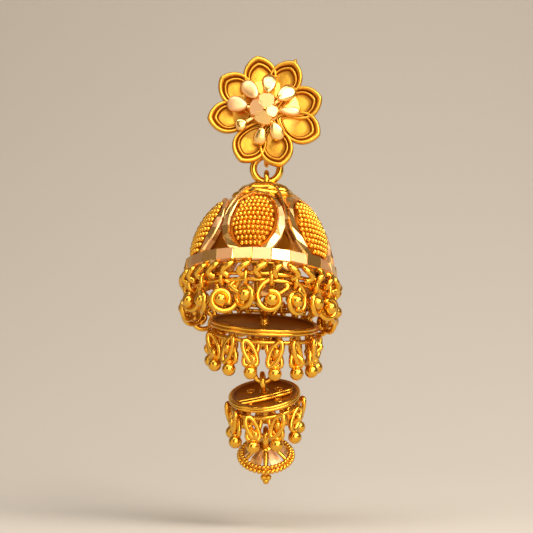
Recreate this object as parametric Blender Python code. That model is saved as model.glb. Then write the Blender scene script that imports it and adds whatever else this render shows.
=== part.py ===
"""A gold jhumka earring: flower stud, jump ring, pierced dome, two plates, end cap and finial.

Metres, +Z up. The front faces -Y and the origin is where the post enters the ear lobe, in the middle of
the flower's flat back. Each tier hangs from the eye above it and leans as it does on the worn earring.
"""

import math

import bmesh
import bpy
import numpy as np
from mathutils import Matrix, Vector, geometry

MM = 0.001

# Clearance between two pieces that touch or interlock on the real earring
GAP = 0.3 * MM

# Flower stud: petals, leaves and centre, from the back towards the front
PETAL_TIP_RADIUS = 7.4 * MM
PETAL_ROOT_RADIUS = 1.5 * MM
PETAL_WIDTH = 3.5 * MM
PETAL_THICKNESS = 0.7 * MM
PETAL_RIM_HEIGHT = 0.45 * MM
PETAL_TIP_LIFT = 0.5 * MM
FLOWER_PLATE_RADIUS = 4.8 * MM
FLOWER_PLATE_THICKNESS = 0.9 * MM
FLOWER_SEAT_DEPTH = 0.2 * MM
LEAF_TIP_RADIUS = 4.6 * MM
LEAF_WIDTH = 1.8 * MM
LEAF_DISC_RADIUS = 1.75 * MM
LEAF_THICKNESS = 0.4 * MM
LEAF_RIDGE_HEIGHT = 0.5 * MM
CENTRE_RADIUS = 1.9 * MM
CENTRE_THICKNESS = 0.4 * MM
CENTRE_PEAK_HEIGHT = 0.7 * MM

# Directions of the petals and leaves seen from the front, in degrees from +X towards +Z
PETAL_TURNS = (15, 61, 99, 142, 186, 243, 285, 336)
LEAF_TURNS = (0, 44, 86, 126, 165, 209, 254, 295)

# Ear post with its back
POST_RADIUS = 0.5 * MM
POST_LENGTH = 11.0 * MM
POST_FLANGE_RADIUS = 1.35 * MM
POST_FLANGE_THICKNESS = 0.5 * MM
POST_BACK_RADIUS = 3.0 * MM
POST_BACK_THICKNESS = 2.2 * MM
POST_BACK_PLACE = 7.5 * MM

# Wire of the jump ring, of the eyes and of the links
RING_WIRE_RADIUS = 0.5 * MM
RING_OUTER_RADIUS = 2.2 * MM
EYE_WIRE_RADIUS = 0.35 * MM
LINK_WIRE_RADIUS = 0.33 * MM
LINK_WIDTH = 2.8 * MM
RING_ABOVE_PETAL_TIP = 0.6 * MM
RING_DROP = PETAL_TIP_RADIUS - RING_ABOVE_PETAL_TIP
RING_BEHIND = 1.2 * MM

# Dome
DOME_RADIUS = 9.0 * MM
DOME_HEIGHT = 12.6 * MM
DOME_WALL = 0.7 * MM
DOME_COLLAR_RADIUS = 2.75 * MM
DOME_COLLAR_HEIGHT = 1.0 * MM
MEDALLION_RELIEF = 0.4 * MM
BAND_RELIEF = 0.45 * MM
DOME_SECTORS = 6
DOME_LEAN = -8.0
DOME_ROLL = 3.0
DOME_TURN = 22.0

# Middle and lower plates
MIDDLE_RADIUS = 6.8 * MM
MIDDLE_THICKNESS = 0.9 * MM
MIDDLE_LEAN = 12.0
MIDDLE_ROLL = 4.0
LOWER_RADIUS = 4.5 * MM
LOWER_THICKNESS = 0.8 * MM
LOWER_LEAN = 24.0
LOWER_ROLL = -5.0
PLATE_DISH = 0.5 * MM
PLATE_RIM_WIDTH = 0.6 * MM
PLATE_EDGE_ROUND = 0.25 * MM
PLATE_STEM_TOP_RADIUS = 0.6 * MM
PLATE_STEM_FOOT_RADIUS = 0.9 * MM
PLATE_HOLE_RADIUS = 0.4 * MM
PLATE_HOLE_PLACE = 2.5 * MM

# End cap and finial
CAP_RADIUS = 3.3 * MM
CAP_HEIGHT = 1.6 * MM
CAP_WALL = 0.6 * MM
CAP_RIM_WIRE_RADIUS = 0.4 * MM
CAP_SECTORS = 6
CAP_LEAN = 36.0
CAP_HUB_RADIUS = 1.2 * MM
CAP_HUB_HEIGHT = 0.8 * MM
GRANULE_RADIUS = 0.45 * MM
FINIAL_LENGTH = 1.5 * MM
SHANK_RADIUS = 0.3 * MM

# How far each plate lies below its upper eye
MIDDLE_EYE_DROP = 2.0 * MM
LOWER_EYE_DROP = 1.7 * MM
LOWER_HOLE_COUNT = 4

# Length of each link between the middles of the two eyes that it joins, and how far it leans forward
LONG_LINK_LENGTH = 13.4 * MM
LONG_LINK_LEAN = -5.6
MIDDLE_LINK_LENGTH = 5.4 * MM
LOWER_LINK_LENGTH = 3.6 * MM
LINK_SLACK = 0.05 * MM
EYE_PLAY = 0.1 * MM

# Fringes: curled wire hooks with a ball, each hung on a wire below the edge of its tier
FRINGE_RING_WIRE_RADIUS = 0.36 * MM
HOOK_WIRE_RADIUS = 0.28 * MM
BALL_RADIUS = 0.93 * MM
HOOK_WIDTH = 2.3 * MM
HOOK_TWIST = 24.0
DOME_BALL_DROP = 2.6 * MM
MIDDLE_BALL_DROP = 3.7 * MM
LOWER_BALL_DROP = 3.5 * MM
FRINGE_SLACK = 0.1 * MM
DOME_BALL_OUT = 0.55 * MM
PLATE_BALL_OUT = 0.1 * MM
DOME_FRINGE_COUNT = 19
MIDDLE_FRINGE_COUNT = 14
LOWER_FRINGE_COUNT = 9

# Facets
WIRE_SIDES = 5
LOOP_STEPS = 10
HOOK_STEPS = 6
RING_STEPS = 16
DOME_RING_STEPS = 20
MIDDLE_RING_STEPS = 16
LOWER_RING_STEPS = 14
EYE_SIDES = 6
DRILL_SIDES = 8
COLLAR_SIDES = 18
POST_SIDES = 12
BALL_SIDES = 10
BALL_RINGS = 4
TURNED_SIDES = 24

# Places that follow from the sizes above
FLOWER_SEAT_RADIUS = POST_FLANGE_RADIUS + 0.5 * GAP
RING_MEAN_RADIUS = RING_OUTER_RADIUS - RING_WIRE_RADIUS
RING_CENTRE = Vector((0.0, RING_BEHIND, -RING_DROP))
EYE_HOLE_RADIUS = RING_WIRE_RADIUS + GAP + EYE_PLAY
BIG_EYE_RADIUS = EYE_HOLE_RADIUS + EYE_WIRE_RADIUS
BIG_EYE_OFFSET = 0.6 * EYE_PLAY
SMALL_EYE_RADIUS = LINK_WIRE_RADIUS + GAP + EYE_PLAY + EYE_WIRE_RADIUS
STUD_LOOP_CENTRE = RING_CENTRE + Vector((0.0, 0.0, RING_MEAN_RADIUS + BIG_EYE_OFFSET))
DOME_EYE_CENTRE = RING_CENTRE - Vector((0.0, 0.0, RING_MEAN_RADIUS + BIG_EYE_OFFSET))
PLATE_BELLY = 0.6 * PLATE_DISH
X_AXIS = Vector((1.0, 0.0, 0.0))
Y_AXIS = Vector((0.0, 1.0, 0.0))
Z_AXIS = Vector((0.0, 0.0, 1.0))


def clear_scene():
    """Remove every object and mesh that the file starts with."""
    for obj in list(bpy.data.objects):
        bpy.data.objects.remove(obj, do_unlink=True)
    for mesh in list(bpy.data.meshes):
        bpy.data.meshes.remove(mesh)


def gold(name, colour, roughness):
    """A Principled gold with its own colour and polish."""
    material = bpy.data.materials.new(name)
    material.use_nodes = True
    shader = material.node_tree.nodes["Principled BSDF"]
    shader.inputs["Base Color"].default_value = (*colour, 1.0)
    shader.inputs["Metallic"].default_value = 1.0
    shader.inputs["Roughness"].default_value = roughness
    return material


def closed_shell(points, faces):
    """A bmesh of one closed shell, its faces turned outwards."""
    shell = bmesh.new()
    corners = [shell.verts.new(point) for point in points]
    for face in faces:
        shell.faces.new([corners[i] for i in face])
    bmesh.ops.recalc_face_normals(shell, faces=shell.faces)
    return shell


def joined(shells):
    """One bmesh that holds all the shells, which are freed."""
    whole = bmesh.new()
    for shell in shells:
        mesh = bpy.data.meshes.new("shell")
        shell.to_mesh(mesh)
        shell.free()
        whole.from_mesh(mesh)
        bpy.data.meshes.remove(mesh)
    return whole


def add_object(name, shell, material=None, parent=None):
    """A named object from a bmesh, shaded smooth with sharp edges kept."""
    mesh = bpy.data.meshes.new(name)
    shell.to_mesh(mesh)
    shell.free()
    mesh.shade_smooth()
    mesh.set_sharp_from_angle(angle=math.radians(35))
    if material:
        mesh.materials.append(material)
    obj = bpy.data.objects.new(name, mesh)
    bpy.context.collection.objects.link(obj)
    obj.parent = parent
    return obj


def add_pivot(name, place, parent=None, turn=None):
    """An empty that carries pieces, placed and turned under its parent."""
    pivot = bpy.data.objects.new(name, None)
    pivot.empty_display_size = 2 * MM
    bpy.context.collection.objects.link(pivot)
    pivot.parent = parent
    pivot.location = place
    if turn:
        pivot.rotation_euler = turn.to_euler()
    return pivot


def fuse(obj, *groups):
    """Solder groups of shells to an object one after the other. The shells of one group stay apart."""
    for number, group in enumerate(groups, 1):
        helper = add_object(f"{obj.name}_solder_{number}", joined(group), None, obj.parent)
        helper.location = obj.location
        helper.hide_render = True
        helper.display_type = "WIRE"
        modifier = obj.modifiers.new(f"Solder {number}", "BOOLEAN")
        modifier.operation = "UNION"
        modifier.solver = "MANIFOLD"
        modifier.object = helper


def lean_matrix(lean, roll):
    """How a tier leans: about X towards the front, and about Y sideways."""
    return Matrix.Rotation(math.radians(lean), 3, "X") @ Matrix.Rotation(math.radians(roll), 3, "Y")


def wire_loop(centre, across, along, half_width, half_length, wire, steps, sides=WIRE_SIDES):
    """A closed loop of round wire: two half circles of half_width with straight sides between them."""
    normal = across.cross(along).normalized()
    straight = half_length - half_width
    path = []
    for i in range(steps):
        angle = 2 * math.pi * (i + 0.5) / steps
        lift = math.copysign(straight, math.sin(angle))
        path.append(
            (half_width * math.cos(angle), half_width * math.sin(angle) + lift)
        )
    points = []
    for i, (x, y) in enumerate(path):
        ahead = path[(i + 1) % steps]
        behind = path[i - 1]
        forward = Vector((ahead[0] - behind[0], ahead[1] - behind[1])).normalized()
        outward = across * forward.y - along * forward.x
        for j in range(sides):
            angle = 2 * math.pi * (j + 0.5) / sides
            offset = outward * math.cos(angle) + normal * math.sin(angle)
            points.append(centre + across * x + along * y + offset * wire)
    faces = []
    for i in range(steps):
        for j in range(sides):
            k = (j + 1) % sides
            after = (i + 1) % steps
            faces.append(
                (i * sides + j, i * sides + k, after * sides + k, after * sides + j)
            )
    return closed_shell(points, faces)


def curled_hook(top, across, drop, side):
    """A wire hook from a ring down to a ball: it swells to one side and comes back, like an S."""
    swell = HOOK_WIDTH / 2 - HOOK_WIRE_RADIUS
    path = []
    for i in range(HOOK_STEPS + 1):
        share = i / HOOK_STEPS
        lean = swell * side * math.sin(2 * math.pi * share) * min(1.0, 3 * share)
        path.append((lean, -drop * share))
    points = []
    normal = across.cross(Z_AXIS)
    for i, (x, z) in enumerate(path):
        ahead = path[min(i + 1, HOOK_STEPS)]
        behind = path[max(i - 1, 0)]
        forward = Vector((ahead[0] - behind[0], ahead[1] - behind[1])).normalized()
        outward = across * forward.y - Z_AXIS * forward.x
        for j in range(WIRE_SIDES):
            angle = 2 * math.pi * (j + 0.5) / WIRE_SIDES
            offset = outward * math.cos(angle) + normal * math.sin(angle)
            points.append(top + across * x + Z_AXIS * z + offset * HOOK_WIRE_RADIUS)
    faces = [list(range(WIRE_SIDES)), [HOOK_STEPS * WIRE_SIDES + j for j in range(WIRE_SIDES)]]
    for i in range(HOOK_STEPS):
        for j in range(WIRE_SIDES):
            k = (j + 1) % WIRE_SIDES
            near = i * WIRE_SIDES
            far = near + WIRE_SIDES
            faces.append((near + j, near + k, far + k, far + j))
    return closed_shell(points, faces)


def eye(centre, radius, sides=WIRE_SIDES):
    """A round eye that stands across the earring, in the plane of Y and Z."""
    return wire_loop(
        centre, Y_AXIS, Z_AXIS, radius, radius, EYE_WIRE_RADIUS, LOOP_STEPS, sides
    )


def ball(centre, radius, sides=BALL_SIDES, rings=BALL_RINGS):
    """A round bead."""
    shell = bmesh.new()
    bmesh.ops.create_uvsphere(shell, u_segments=sides, v_segments=rings, radius=radius)
    bmesh.ops.translate(shell, verts=shell.verts, vec=centre)
    return shell


def turned(profile, sides=TURNED_SIDES, axis=Z_AXIS, start=0.0):
    """A solid turned about an axis from (radius, height) pairs that run from pole to pole."""
    rest = axis.to_track_quat("Z", "Y").to_matrix()
    points = []
    rings = []
    for radius, height in profile:
        if radius < 1e-7:
            rings.append([len(points)])
            points.append(rest @ Vector((0.0, 0.0, height)))
            continue
        ring = []
        for i in range(sides):
            angle = start + 2 * math.pi * i / sides
            ring.append(len(points))
            place = Vector((radius * math.cos(angle), radius * math.sin(angle), height))
            points.append(rest @ place)
        rings.append(ring)
    faces = []
    for upper, lower in zip(rings, rings[1:]):
        for i in range(sides):
            k = (i + 1) % sides
            if len(upper) == 1:
                faces.append((upper[0], lower[i], lower[k]))
            elif len(lower) == 1:
                faces.append((upper[i], lower[0], upper[k]))
            else:
                faces.append((upper[i], lower[i], lower[k], upper[k]))
    return closed_shell(points, faces)


def inside(point, outline):
    """Whether a flat point lies within a closed outline."""
    x, y = point
    hits = False
    for (ax, ay), (bx, by) in zip(outline, outline[1:] + outline[:1]):
        if (ay > y) != (by > y) and x < ax + (y - ay) * (bx - ax) / (by - ay):
            hits = not hits
    return hits


def pierced_sheet(sectors, border, lines, windows, fill, flat_scale, place):
    """A turned sheet of metal with windows cut out, the same in each sector.

    border is the sector's outline in degrees and height shares, lines are creases in it, windows are
    the outlines that are cut away and fill are single points. place(degrees, share) gives a point.
    """
    flat = []
    edges = []
    for path, is_closed in [(border, True)] + [(line, False) for line in lines]:
        first = len(flat)
        flat.extend(path)
        edges.extend((first + i, first + i + 1) for i in range(len(path) - 1))
        if is_closed:
            edges.append((first + len(path) - 1, first))
    for window in windows:
        first = len(flat)
        flat.extend(window)
        edges.extend((first + i, first + (i + 1) % len(window)) for i in range(len(window)))
    flat.extend(fill)
    scaled = [Vector((degrees * flat_scale, share)) for degrees, share in flat]
    outline = list(range(len(border)))
    cut = geometry.delaunay_2d_cdt(scaled, edges, [outline], 1, 1e-6)
    spots = [(point.x / flat_scale, point.y) for point in cut[0]]
    sheet = bmesh.new()
    for sector in range(sectors):
        turn = 360.0 * sector / sectors
        corners = [sheet.verts.new(place(degrees + turn, share)) for degrees, share in spots]
        for face in cut[2]:
            middle = np.mean([spots[i] for i in face], axis=0)
            if not any(inside(middle, window) for window in windows):
                sheet.faces.new([corners[i] for i in face])
    loose = [vert for vert in sheet.verts if not vert.link_faces]
    bmesh.ops.delete(sheet, geom=loose, context="VERTS")
    bmesh.ops.remove_doubles(sheet, verts=sheet.verts, dist=0.01 * MM)
    bmesh.ops.recalc_face_normals(sheet, faces=sheet.faces)
    top = max(sheet.faces, key=lambda face: face.calc_center_median().z)
    if top.normal.z < 0:
        bmesh.ops.reverse_faces(sheet, faces=sheet.faces)
    return sheet


def thicken(obj, wall):
    """Give a sheet its wall, grown inwards from the outer face."""
    modifier = obj.modifiers.new("Wall", "SOLIDIFY")
    modifier.thickness = wall
    modifier.offset = -1.0
    modifier.use_even_offset = True


# Rows of a petal: place along it and half width, as shares of its length and half width
PETAL_ROWS = (
    # along, width, dish
    (0.00, 0.42, 0.0),
    (0.20, 0.74, 0.6),
    (0.42, 0.98, 1.0),
    (0.62, 0.94, 1.0),
    (0.82, 0.60, 0.5),
    (1.00, 0.08, 0.0),
)

# Points across a petal: place from side to side, height of the rim above the dish
PETAL_COLUMNS = (
    # across, rim
    (-1.00, 0.35),
    (-0.78, 1.00),
    (-0.50, 0.00),
    (0.50, 0.00),
    (0.78, 1.00),
    (1.00, 0.35),
)


def front_place(turn, radius, across, depth):
    """A point of the flower from its direction, radius, sideways place and depth towards the front."""
    angle = math.radians(turn)
    x = radius * math.cos(angle) - across * math.sin(angle)
    z = radius * math.sin(angle) + across * math.cos(angle)
    return Vector((x, -depth, z))


def petal(turn):
    """One dished petal with a raised rim, its flat back rising a little towards the tip."""
    points = []
    faces = []
    columns = len(PETAL_COLUMNS)
    length = PETAL_TIP_RADIUS - PETAL_ROOT_RADIUS
    for along, width, dish in PETAL_ROWS:
        radius = PETAL_ROOT_RADIUS + along * length
        back = along**2 * PETAL_TIP_LIFT
        half = width * PETAL_WIDTH / 2
        for across, rim in PETAL_COLUMNS:
            depth = back + PETAL_THICKNESS + PETAL_RIM_HEIGHT * (1 - dish * (1 - rim))
            points.append(front_place(turn, radius, across * half, depth))
        points.append(front_place(turn, radius, -half, back))
        points.append(front_place(turn, radius, half, back))
    step = columns + 2
    for row in range(len(PETAL_ROWS) - 1):
        near = row * step
        far = near + step
        for i in range(columns - 1):
            faces.append((near + i, near + i + 1, far + i + 1, far + i))
        faces.append((near, far, far + columns, near + columns))
        faces.append((near + columns - 1, near + step - 1, far + step - 1, far + columns - 1))
        faces.append((near + columns, far + columns, far + step - 1, near + step - 1))
    last = (len(PETAL_ROWS) - 1) * step
    for first in (0, last):
        faces.append([first + i for i in range(columns)] + [first + step - 1, first + columns])
    return closed_shell(points, faces)


def add_flower_petals(material):
    """Eight petals on a round back plate, dimpled behind for the post, with the hanging loop."""
    plate = turned(
        [(0.0, FLOWER_SEAT_DEPTH), (FLOWER_SEAT_RADIUS, 0.0), (FLOWER_PLATE_RADIUS, 0.0),
         (FLOWER_PLATE_RADIUS, FLOWER_PLATE_THICKNESS), (0.0, FLOWER_PLATE_THICKNESS)],
        TURNED_SIDES, -Y_AXIS,
    )
    loop = eye(STUD_LOOP_CENTRE, BIG_EYE_RADIUS, EYE_SIDES)
    obj = add_object("flower_petals", plate, material)
    even, odd = ([petal(turn) for turn in PETAL_TURNS[first::2]] for first in (0, 1))
    fuse(obj, even, odd, [loop])


# Depths of the flower's layers, from its back
LEAF_BACK = PETAL_THICKNESS + PETAL_RIM_HEIGHT + 0.28 * PETAL_TIP_LIFT + GAP
LEAF_FRONT = LEAF_BACK + LEAF_THICKNESS
CENTRE_BACK = LEAF_FRONT + 0.4 * LEAF_RIDGE_HEIGHT + GAP
LEAF_ROOT_RADIUS = CENTRE_RADIUS * 0.6

# Outline of a leaf: place along it and half width, as shares
LEAF_ROWS = (
    # along, width
    (0.00, 0.50),
    (0.35, 0.85),
    (0.62, 1.00),
    (0.85, 0.60),
)


def leaf(turn):
    """One polished leaf: a flat teardrop with a ridge, cut in facets."""
    length = LEAF_TIP_RADIUS - LEAF_ROOT_RADIUS
    outline = [(LEAF_ROOT_RADIUS + along * length, width * LEAF_WIDTH / 2) for along, width in LEAF_ROWS]
    outline.append((LEAF_TIP_RADIUS, 0.0))
    outline.extend((radius, -half) for radius, half in reversed(outline[:-1]))
    count = len(outline)
    points = [front_place(turn, radius, half, LEAF_BACK) for radius, half in outline]
    points += [front_place(turn, radius, half, LEAF_FRONT) for radius, half in outline]
    ridge_radius = LEAF_ROOT_RADIUS + 0.6 * length
    points.append(front_place(turn, ridge_radius, 0.0, LEAF_FRONT + LEAF_RIDGE_HEIGHT))
    faces = [list(range(count))]
    for i in range(count):
        k = (i + 1) % count
        faces.append((i, k, count + k, count + i))
        faces.append((count + i, count + k, 2 * count))
    return closed_shell(points, faces)


def add_flower_leaves(material):
    """Eight leaves on a small disc."""
    disc = turned(
        [(0.0, LEAF_BACK), (LEAF_DISC_RADIUS, LEAF_BACK), (LEAF_DISC_RADIUS, LEAF_FRONT), (0.0, LEAF_FRONT)],
        COLLAR_SIDES, -Y_AXIS,
    )
    obj = add_object("flower_leaves", disc, material)
    even, odd = ([leaf(turn) for turn in LEAF_TURNS[first::2]] for first in (0, 1))
    fuse(obj, even, odd)


def add_flower_centre(material):
    """A four-lobed boss, each lobe cut to a peak, with a dimple in the middle."""
    lobes = 4
    points = []
    front = CENTRE_BACK + CENTRE_THICKNESS
    peak = front + CENTRE_PEAK_HEIGHT
    for depth in (CENTRE_BACK, front):
        for i in range(2 * lobes):
            radius = CENTRE_RADIUS if i % 2 == 0 else CENTRE_RADIUS * 0.72
            points.append(front_place(180.0 * i / lobes, radius, 0.0, depth))
    for i in range(lobes):
        points.append(front_place(360.0 * i / lobes, CENTRE_RADIUS * 0.55, 0.0, peak))
    points.append(Vector((0.0, -(front + 0.2 * CENTRE_PEAK_HEIGHT), 0.0)))
    count = 2 * lobes
    faces = [list(range(count))]
    for i in range(count):
        k = (i + 1) % count
        faces.append((i, k, count + k, count + i))
    middle = 2 * count + lobes
    for i in range(lobes):
        tip = count + 2 * i
        after = count + (2 * i + 1) % count
        before = count + (2 * i - 1) % count
        summit = 2 * count + i
        faces.append((tip, after, summit))
        faces.append((before, tip, summit))
        next_summit = 2 * count + (i + 1) % lobes
        faces.append((after, next_summit, middle))
        faces.append((summit, after, middle))
    add_object("flower_centre", closed_shell(points, faces), material)


def add_ear_post(material):
    """Flange, post and back, in one plain piece behind the flower."""
    base = GAP
    back = base + POST_BACK_PLACE
    profile = [
        (0.0, base),
        (POST_FLANGE_RADIUS, base),
        (POST_FLANGE_RADIUS, base + POST_FLANGE_THICKNESS),
        (POST_RADIUS, base + POST_FLANGE_THICKNESS),
        (POST_RADIUS, back),
        (POST_BACK_RADIUS * 0.9, back),
        (POST_BACK_RADIUS, back + POST_BACK_THICKNESS * 0.5),
        (POST_BACK_RADIUS * 0.9, back + POST_BACK_THICKNESS),
        (POST_RADIUS, back + POST_BACK_THICKNESS),
        (POST_RADIUS, base + POST_LENGTH),
        (0.0, base + POST_LENGTH),
    ]
    add_object("ear_post", turned(profile, POST_SIDES, Y_AXIS), material)


def add_jump_ring(material, pivot):
    """The round ring between the stud's loop and the dome's eye, faced to the front."""
    centre = RING_CENTRE - STUD_LOOP_CENTRE
    shell = wire_loop(
        centre, X_AXIS, Z_AXIS, RING_MEAN_RADIUS, RING_MEAN_RADIUS, RING_WIRE_RADIUS, RING_STEPS,
        EYE_SIDES,
    )
    add_object("jump_ring", shell, material, pivot)


# Dome's outer profile: depth below the collar and radius, as shares of height and radius
DOME_PROFILE = (
    # depth, radius
    (0.000, 0.270),
    (0.040, 0.380),
    (0.083, 0.470),
    (0.160, 0.570),
    (0.250, 0.670),
    (0.360, 0.760),
    (0.470, 0.835),
    (0.560, 0.895),
    (0.640, 0.940),
    (0.790, 0.980),
    (1.000, 1.000),
)

# Places on the dome, in degrees from a window's middle and in shares of the height below the collar
SECTOR = 360.0 / DOME_SECTORS
SECTOR_HALF = SECTOR / 2
MEDALLION_HALF_WIDTH = 25.0
MEDALLION_MIDDLE = 0.46
MEDALLION_HALF_HEIGHT = 0.295
MEDALLION_INNER = 0.84
RIB_WIDTH = 4.0
BAND_SHARES = (0.770, 0.790, 0.880, 0.900)
ARCH_MIDDLE_TURNS = (-20.0, 0.0, 20.0)
ARCH_TURNS = (-6.5, -6.5, -3.2, 3.2, 6.5, 6.5)
ARCH_SHARES = (0.975, 0.945, 0.920, 0.920, 0.945, 0.975)
TRIANGLE_SHARES = (0.555, 0.748)
SLIT_OUTLINE = ((0.0, 0.15), (3.2, 0.24), (0.0, 0.37), (-3.2, 0.24))


def profile_radius(share, profile):
    """Radius share at a depth share of a turned profile."""
    depths = [row[0] for row in profile]
    radii = [row[1] for row in profile]
    return float(np.interp(share, depths, radii))


def medallion_reach(share):
    """Half width in degrees of a medallion at a depth, or nothing past its ends."""
    along = (share - MEDALLION_MIDDLE) / MEDALLION_HALF_HEIGHT
    return MEDALLION_HALF_WIDTH * math.sqrt(max(0.0, 1 - along * along))


def dome_relief(degrees, share):
    """How far the stamped relief stands out: medallions and the band."""
    if BAND_SHARES[1] - 1e-4 <= share <= BAND_SHARES[2] + 1e-4:
        return BAND_RELIEF
    from_middle = abs((degrees % SECTOR) - SECTOR_HALF)
    across = (from_middle / MEDALLION_HALF_WIDTH) ** 2
    along = ((share - MEDALLION_MIDDLE) / MEDALLION_HALF_HEIGHT) ** 2
    reach = math.sqrt(across + along)
    if reach > 0.999:
        return 0.0
    ramp = min(1.0, (1 - reach) / (1 - MEDALLION_INNER))
    return MEDALLION_RELIEF * (ramp + 0.6 * max(0.0, 1 - (reach / MEDALLION_INNER) ** 2))


def dome_point(degrees, share):
    """A point of the dome's outer face below its eye."""
    step = 0.01
    here = profile_radius(share, DOME_PROFILE) * DOME_RADIUS
    above = profile_radius(max(0.0, share - step), DOME_PROFILE) * DOME_RADIUS
    below = profile_radius(min(1.0, share + step), DOME_PROFILE) * DOME_RADIUS
    drop = (min(1.0, share + step) - max(0.0, share - step)) * DOME_HEIGHT
    normal = Vector((drop, below - above)).normalized()
    relief = dome_relief(degrees, share)
    radius = here + normal.x * relief
    height = DOME_TOP - share * DOME_HEIGHT + normal.y * relief
    angle = math.radians(degrees + DOME_TURN)
    return Vector((radius * math.sin(angle), -radius * math.cos(angle), height))


COLLAR_TOP = -(EYE_HOLE_RADIUS + BIG_EYE_OFFSET * 0.5 - 0.05 * MM)
DOME_TOP = COLLAR_TOP - DOME_COLLAR_HEIGHT * 0.7
INNER_EYE_DROP = -DOME_TOP + DOME_COLLAR_HEIGHT * 0.3 + SMALL_EYE_RADIUS
FRINGE_WIRE_DROP = -DOME_TOP + DOME_HEIGHT + GAP + FRINGE_SLACK + FRINGE_RING_WIRE_RADIUS


def half_oval(scale, side):
    """The half of a medallion's outline that lies in a sector, from top to bottom."""
    steps = 6
    path = []
    for i in range(steps + 1):
        angle = math.pi * i / steps
        degrees = SECTOR_HALF - scale * MEDALLION_HALF_WIDTH * math.sin(angle)
        share = MEDALLION_MIDDLE - scale * MEDALLION_HALF_HEIGHT * math.cos(angle)
        path.append((side * degrees, share))
    return path


def dome_windows():
    """Outlines of the windows in one sector: the triangle, the slit above it and three arches."""
    shares = np.linspace(*TRIANGLE_SHARES, 4)
    right = [(SECTOR_HALF - medallion_reach(share) - RIB_WIDTH, share) for share in shares]
    left = [(-degrees, share) for degrees, share in reversed(right)]
    windows = [right + left, list(SLIT_OUTLINE)]
    for middle in ARCH_MIDDLE_TURNS:
        windows.append([(middle + turn, share) for turn, share in zip(ARCH_TURNS, ARCH_SHARES)])
    return windows


def add_dome(material, pivot):
    """The pierced bell, with its collar, its top eye and the eye inside it."""
    rows = [0.0]
    for scale in (1.0, MEDALLION_INNER):
        rows.extend(MEDALLION_MIDDLE + side * scale * MEDALLION_HALF_HEIGHT for side in (-1, 1))
    rows.extend((MEDALLION_MIDDLE - 0.12, MEDALLION_MIDDLE, MEDALLION_MIDDLE + 0.12))
    rows.extend(BAND_SHARES)
    rows.append(1.0)
    rows.sort()
    top_edge = [(degrees, 0.0) for degrees in (15.0, 0.0, -15.0)]
    bottom_edge = [(degrees, 1.0) for degrees in (-20.0, -10.0, 0.0, 10.0, 20.0)]
    left = [(-SECTOR_HALF, share) for share in rows]
    right = [(SECTOR_HALF, share) for share in reversed(rows)]
    border = left + bottom_edge + right + top_edge
    lines = [half_oval(scale, side) for scale in (1.0, MEDALLION_INNER) for side in (-1, 1)]
    across = [SECTOR_HALF * i / 3 for i in range(-3, 4)]
    lines.extend([[(degrees, share) for degrees in across] for share in BAND_SHARES])
    fill = [(degrees, 0.08) for degrees in (-20.0, 0.0, 20.0)]
    fill.extend((side * 9.0, 0.2) for side in (-1, 1))
    fill.append((0.0, MEDALLION_MIDDLE))
    for share in (-0.12, 0.0, 0.12):
        fill.extend((side * 18.0, MEDALLION_MIDDLE + share) for side in (-1, 1))
    sheet = pierced_sheet(
        DOME_SECTORS, border, lines, dome_windows(), fill, 1 / 90, dome_point
    )
    obj = add_object("dome", sheet, material, pivot)
    thicken(obj, DOME_WALL)
    low = COLLAR_TOP - DOME_COLLAR_HEIGHT
    collar = turned(
        [(0.0, COLLAR_TOP), (0.6 * DOME_COLLAR_RADIUS, COLLAR_TOP),
         (DOME_COLLAR_RADIUS, COLLAR_TOP - 0.35 * DOME_COLLAR_HEIGHT),
         (DOME_COLLAR_RADIUS, low), (0.0, low)],
        COLLAR_SIDES,
    )
    top_eye = eye(Vector(), BIG_EYE_RADIUS, EYE_SIDES)
    inner_eye = eye(Vector((0.0, 0.0, -INNER_EYE_DROP)), SMALL_EYE_RADIUS)
    fuse(obj, [collar], [top_eye, inner_eye])


def fringe_shells(radius, depth, lean, count, ball_drop, ball_out, steps):
    """A wire ring that leans with its tier, and upright hooks with balls hung round it."""
    ring = wire_loop(
        lean @ Vector((0.0, 0.0, -depth)), lean @ X_AXIS, lean @ Y_AXIS, radius, radius,
        FRINGE_RING_WIRE_RADIUS, steps,
    )
    hooks = []
    balls = []
    for i in range(count):
        angle = 2 * math.pi * (i + 0.5) / count
        outward = Vector((math.sin(angle), -math.cos(angle), 0.0))
        hook = lean @ Vector((radius * outward.x, radius * outward.y, -depth))
        sideways = Vector((math.cos(angle), math.sin(angle), 0.0))
        side = 1 if i % 2 else -1
        twist = math.radians(HOOK_TWIST * side)
        across = sideways * math.cos(twist) + outward * math.sin(twist)
        hooks.append(curled_hook(hook, across, ball_drop - BALL_RADIUS / 2, side))
        balls.append(ball(hook + outward * ball_out - Z_AXIS * ball_drop, BALL_RADIUS))
    return ring, hooks, balls


def add_fringe(name, material, pivot, place, fringe):
    """A fringe as one body: its ring and hooks with its balls soldered on."""
    ring, hooks, balls = fringe
    obj = add_object(name, ring, material, pivot)
    obj.location = place
    fuse(obj, hooks, balls)


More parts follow.
